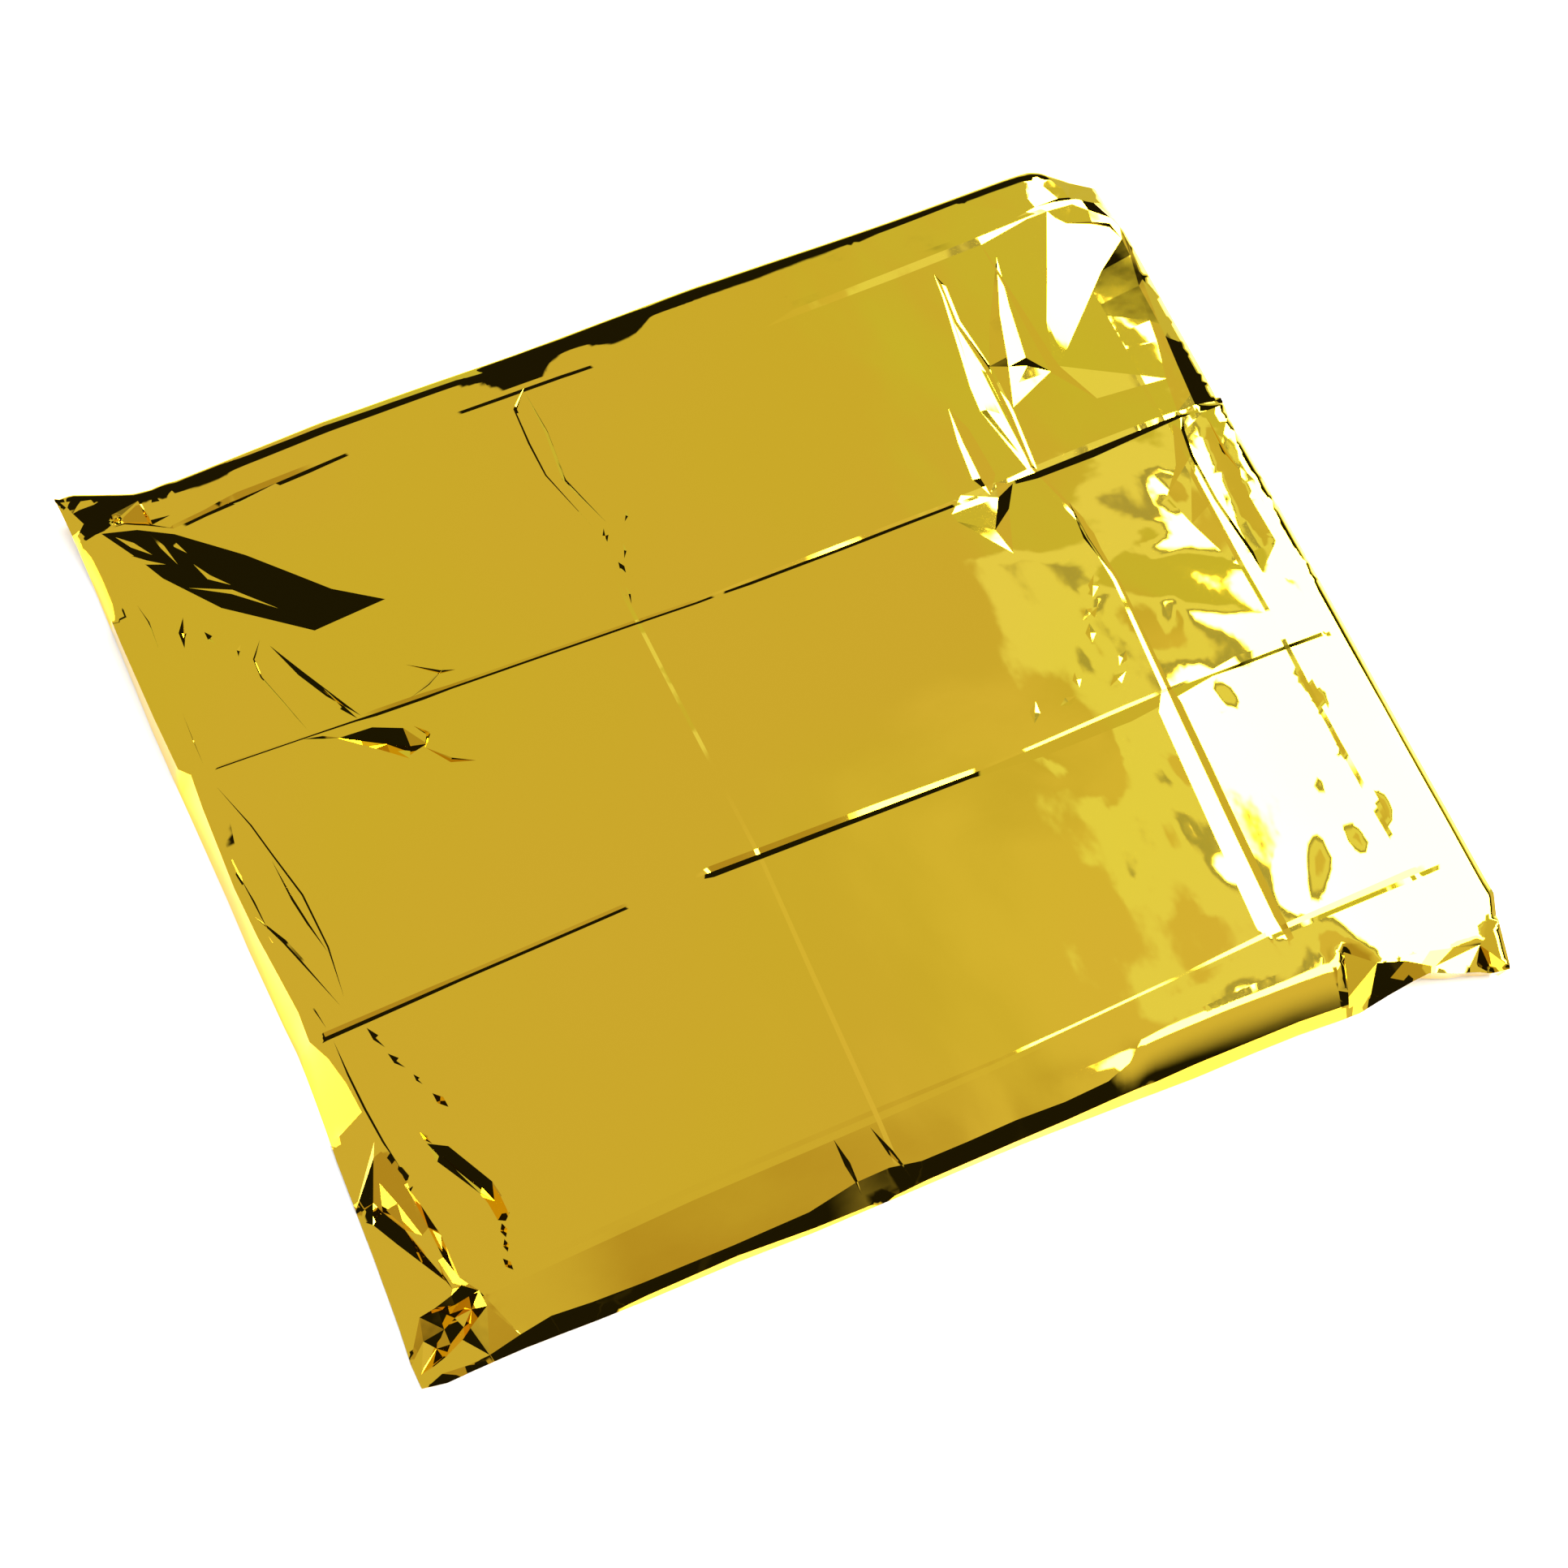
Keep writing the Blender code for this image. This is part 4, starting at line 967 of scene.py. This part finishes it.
class Nodes:
    """The nodes of one material or world."""

    def __init__(self, tree):
        self.tree = tree
        tree.nodes.clear()

    def add(self, kind, settings=None, inputs=None, output=0):
        """Adds a node: its settings first, then the values or links of its sockets."""
        node = self.tree.nodes.new(kind)
        for name, value in (settings or {}).items():
            setattr(node, name, value)
        for name, value in (inputs or {}).items():
            if isinstance(value, Socket):
                self.tree.links.new(value.socket, node.inputs[name])
            else:
                node.inputs[name].default_value = value
        return Socket(self, node.outputs[output]) if node.outputs else None

    def mix(self, share, first, second):
        """A colour between two colours, by the colour sockets of a Mix node."""
        return self.add("ShaderNodeMix", {"data_type": "RGBA"}, {0: share, 6: first, 7: second}, output=2)


# ---------------------------------------------------------------- sizes and finishes to change
class FoilFinish(bpy.types.PropertyGroup):
    """Look of the foil."""

    gold: FloatVectorProperty(
        name="Gold", description="Colour of the foil", subtype="COLOR", size=3, min=0.0, max=1.0,
        default=(0.97, 0.625, 0.040))
    green_gold: FloatVectorProperty(
        name="Green gold", description="Colour of the foil in its cooler patches", subtype="COLOR",
        size=3, min=0.0, max=1.0, default=(0.95, 0.645, 0.034))
    roughness: FloatProperty(
        name="Roughness", description="How blurred the foil's reflections are", subtype="FACTOR",
        default=0.02, min=0.0, max=1.0)
    crinkle: FloatProperty(
        name="Crinkle", description="Height of the finest crinkles", unit="LENGTH",
        default=0.00001, min=0.0, max=0.001)


class StudioSettings(bpy.types.PropertyGroup):
    """Light of the studio."""

    ceiling: FloatProperty(
        name="Ceiling", description="Brightness of the diffused ceiling", default=0.62, min=0.0)
    softbox: FloatProperty(
        name="Softbox", description="Brightness of the soft light in the east", default=28.0, min=0.0)
    dark: FloatProperty(
        name="Dark", description="Brightness of the black cards", default=0.012, min=0.0)
    lens: FloatProperty(
        name="Lens", description="Focal length of the camera", unit="CAMERA", default=55.43, min=1.0)


# ---------------------------------------------------------------- materials
GREEN_FROM = 0.52              # noise from which the gold turns green gold
GREEN_SOFT = 0.16


def foil_material(finish):
    """Gold metallised film: nearly a mirror, with cooler patches and the finest crinkles."""
    material = bpy.data.materials.new("gold_foil")
    material.use_nodes = True
    nodes = Nodes(material.node_tree)
    place = nodes.add("ShaderNodeTexCoord", output="Object")
    patches = nodes.add("ShaderNodeTexNoise", None, {"Vector": place, "Scale": 9.0, "Detail": 2.0})
    colour = nodes.mix(patches.above(GREEN_FROM, GREEN_SOFT), (*finish.gold, 1.0), (*finish.green_gold, 1.0))
    fine = nodes.add("ShaderNodeTexNoise", None, {"Vector": place, "Scale": 200.0, "Detail": 1.0})
    bump = nodes.add("ShaderNodeBump", None, {"Height": fine, "Distance": finish.crinkle, "Strength": 1.0})
    shader = nodes.add("ShaderNodeBsdfPrincipled", None, {
        "Base Color": colour, "Metallic": 1.0, "Roughness": finish.roughness, "Normal": bump})
    nodes.add("ShaderNodeOutputMaterial", None, {"Surface": shader})
    return material


def floor_material():
    """Pale studio floor, with a slight mottle."""
    material = bpy.data.materials.new("studio_floor")
    material.use_nodes = True
    nodes = Nodes(material.node_tree)
    place = nodes.add("ShaderNodeTexCoord", output="Object")
    mottle = nodes.add("ShaderNodeTexNoise", None, {"Vector": place, "Scale": 3.0})
    colour = nodes.mix(mottle, (0.88, 0.88, 0.88, 1.0), (0.92, 0.92, 0.92, 1.0))
    shader = nodes.add("ShaderNodeBsdfPrincipled", None, {"Base Color": colour, "Roughness": 0.9})
    nodes.add("ShaderNodeOutputMaterial", None, {"Surface": shader})
    return material


# ---------------------------------------------------------------- the studio
FLOOR_HALF = 4.0               # half the floor's width, in metres
SENSOR_WIDTH = 36.0            # in millimetres
CLIP_START = 0.01              # in metres
# The camera, as found from the photograph: its place, and its picture's right and up.
CAMERA_PLACE = (-0.20750, -0.17373, 0.63950)
CAMERA_RIGHT = (0.89098, -0.42247, 0.16634)
CAMERA_UP = (0.35276, 0.87477, 0.33218)
HORIZON = 0.02                 # the least height of a direction, so that its slopes stay finite
BACKDROP = 1.1                 # brightness behind the floor, in the camera's view
# The studio as the foil mirrors it, by the slopes X/Z and Y/Z of the direction in which a place is
# seen. Tones of the ceiling: the borders within which they lie.
TONES = (
    # name, borders (slope, side, place, softness), colour
    ("south", (("y", "below", -0.12, 0.12),), (0.45, 0.38, 0.28)),
    ("east", (("x", "above", 0.33, 0.06), ("y", "below", 0.24, 0.04)), (0.69, 0.69, 0.80)),
    ("north-east", (("x", "above", 0.47, 0.05), ("y", "above", 0.28, 0.05)), (0.60, 0.69, 0.60)),
)
# The ceiling's dark part in the south-east.
SHADE = (("y", "below", -1.05, 0.55), ("x", "above", 0.33, 0.06), ("x", "below", 1.5, 0.3))
# Black cards round the ceiling.
CARDS = (
    # name, west, east, south, north
    ("north card", -1.0, 1.3, 0.58, 2.6),
    ("south card", -0.8, 0.36, -3.2, -0.62),
    ("south-east card", 0.34, 1.3, -3.2, -1.6),
    ("south-west low card", -1.7, -0.78, -3.6, -1.38),
    ("east card", 1.25, 3.2, -1.6, 1.9),
    ("south-west card", -2.2, -0.55, -1.4, -0.05),
)
CARD_SOFT = 0.03
# Lamps, the same way as the cards.
LAMPS = (
    # name, west, east, south, north, share of the softbox's brightness
    ("softbox", 0.505, 1.25, -0.18, 0.29, 1.0),
    ("softbox wing", 0.645, 1.25, 0.28, 0.55, 1.0),
    ("strip light", 0.33, 1.25, -0.34, -0.17, 0.6),
)
LAMP_SOFT = 0.008
# Spill round the softbox: bands of other tones, by their distance from its west and north sides.
SPILL_EAST = 0.62              # where the bands end in the east
SPILL_SQUEEZE = 1.6            # how much narrower they are in the north
SPILL = (
    # name, inner distance, outer distance, colour
    ("olive band", 0.0, 0.028, (0.43, 0.49, 0.79)),
    ("light band", 0.028, 0.07, (0.80, 0.94, 1.4)),
)


def zone(slopes, borders):
    """1 where a direction lies within all the borders."""
    shares = [getattr(slopes[name], side)(place, soft) for name, side, place, soft in borders]
    return math.prod(shares[1:], start=shares[0])


def rectangle(slopes, west, east, south, north, soft):
    """1 where a direction meets a rectangle of the ceiling's plane."""
    return zone(slopes, (("x", "above", west, soft), ("x", "below", east, soft),
                         ("y", "above", south, soft), ("y", "below", north, soft)))


def grey(value):
    """A colour without a hue."""
    return (value, value, value, 1.0)


def studio_world(settings):
    """The diffused ceiling, its black cards and its lamps, as seen by the foil."""
    world = bpy.data.worlds.new("studio")
    world.use_nodes = True
    nodes = Nodes(world.node_tree)
    direction = nodes.add("ShaderNodeTexCoord", output="Generated")
    split = nodes.add("ShaderNodeSeparateXYZ", None, {"Vector": direction}).socket.node
    dx, dy, dz = (Socket(nodes, output) for output in split.outputs)
    height = dz.math("MAXIMUM", HORIZON)
    slope_x, slope_y = dx / height, dy / height
    slopes = {"x": slope_x, "y": slope_y}
    glow = grey(settings.ceiling)
    for _, borders, colour in TONES:
        glow = nodes.mix(zone(slopes, borders), glow, (*colour, 1.0))
    glow = nodes.mix(zone(slopes, SHADE), glow, grey(settings.dark))
    _, west, _, south, north, _ = LAMPS[0]
    apart = (west - slope_x).math("MAXIMUM", (slope_y - north) * SPILL_SQUEEZE)
    near = slope_y.above(south, LAMP_SOFT) * slope_x.below(SPILL_EAST, LAMP_SOFT)
    for _, inner, outer, colour in SPILL:
        band = apart.above(inner, LAMP_SOFT) * apart.below(outer, LAMP_SOFT) * near
        glow = nodes.mix(band, glow, (*colour, 1.0))
    for _, west, east, south, north in CARDS:
        card = rectangle(slopes, west, east, south, north, CARD_SOFT)
        glow = nodes.mix(card, glow, grey(settings.dark))
    for _, west, east, south, north, share in LAMPS:
        lamp = rectangle(slopes, west, east, south, north, LAMP_SOFT)
        glow = nodes.mix(lamp, glow, grey(share * settings.softbox))
    camera = nodes.add("ShaderNodeLightPath", output="Is Camera Ray")
    glow = nodes.mix(camera, glow, grey(BACKDROP))
    background = nodes.add("ShaderNodeBackground", None, {"Color": glow})
    nodes.add("ShaderNodeOutputWorld", None, {"Surface": background})
    return world


def floor_light(name, place, size, power):
    """A soft lamp for the floor alone, which the foil doesn't mirror."""
    lamp = bpy.data.lights.new(name, "AREA")
    lamp.size = size
    lamp.energy = power
    thing = bpy.data.objects.new(name, lamp)
    thing.location = place
    thing.visible_glossy = False
    thing.visible_camera = False
    bpy.context.collection.objects.link(thing)


def studio_camera(lens):
    """The camera at the photograph's place."""
    data = bpy.data.cameras.new("camera")
    data.lens = lens
    data.sensor_width = SENSOR_WIDTH
    data.clip_start = CLIP_START
    camera = bpy.data.objects.new("camera", data)
    right, up = Vector(CAMERA_RIGHT).normalized(), Vector(CAMERA_UP).normalized()
    back = right.cross(up)
    up = back.cross(right)
    axes = Matrix((right, up, back)).transposed().to_4x4()
    camera.matrix_world = Matrix.Translation(CAMERA_PLACE) @ axes
    bpy.context.collection.objects.link(camera)
    bpy.context.scene.camera = camera


def studio_floor():
    """A plain pale floor."""
    mesh = bpy.data.meshes.new("studio_floor")
    corners = [(x * FLOOR_HALF, y * FLOOR_HALF, 0.0) for x, y in ((-1, -1), (1, -1), (1, 1), (-1, 1))]
    mesh.from_pydata(corners, [], [(0, 1, 2, 3)])
    mesh.materials.append(floor_material())
    floor = bpy.data.objects.new("studio_floor", mesh)
    bpy.context.collection.objects.link(floor)


# ---------------------------------------------------------------- operators and panel
class FOIL_OT_blanket(bpy.types.Operator):
    """Makes the blanket's sheet and lays it over its solid."""

    bl_idname = "foil.blanket"
    bl_label = "Make blanket"

    def execute(self, context):
        mesh = sheet_mesh()
        mesh.materials.append(foil_material(context.scene.foil_finish))
        sheet = bpy.data.objects.new("foil_sheet", mesh)
        context.collection.objects.link(sheet)
        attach(sheet, "root")
        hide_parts(BLANKET_NODE)
        return {"FINISHED"}


class FOIL_OT_studio(bpy.types.Operator):
    """Makes the floor, the light and the camera."""

    bl_idname = "foil.studio"
    bl_label = "Make studio"

    def execute(self, context):
        settings = context.scene.foil_studio
        studio_camera(settings.lens)
        studio_floor()
        floor_light("floor_light", place=(0.0, 0.0, 1.6), size=2.0, power=48.0)
        context.scene.world = studio_world(settings)
        context.scene.view_settings.view_transform = "Standard"
        return {"FINISHED"}


class FOIL_PT_panel(bpy.types.Panel):
    """Lists the blanket's and the studio's settings."""

    bl_label = "Foil blanket"
    bl_idname = "FOIL_PT_panel"
    bl_space_type = "VIEW_3D"
    bl_region_type = "UI"
    bl_category = "Foil"

    def draw(self, context):
        for group in (context.scene.foil_finish, context.scene.foil_studio):
            for name in group.__annotations__:
                self.layout.prop(group, name)
        self.layout.operator(FOIL_OT_studio.bl_idname)
        self.layout.operator(FOIL_OT_blanket.bl_idname)


CLASSES = (FoilFinish, StudioSettings, FOIL_OT_blanket, FOIL_OT_studio, FOIL_PT_panel)


def register():
    """Registers the classes and hangs the settings on the scene."""
    for item in CLASSES:
        bpy.utils.register_class(item)
    bpy.types.Scene.foil_finish = PointerProperty(type=FoilFinish)
    bpy.types.Scene.foil_studio = PointerProperty(type=StudioSettings)


def unregister():
    """Takes back what register does."""
    del bpy.types.Scene.foil_studio
    del bpy.types.Scene.foil_finish
    for item in reversed(CLASSES):
        bpy.utils.unregister_class(item)


def main():
    """Makes the studio and the blanket."""
    register()
    bpy.ops.foil.studio()
    bpy.ops.foil.blanket()


if __name__ == "__main__":
    main()
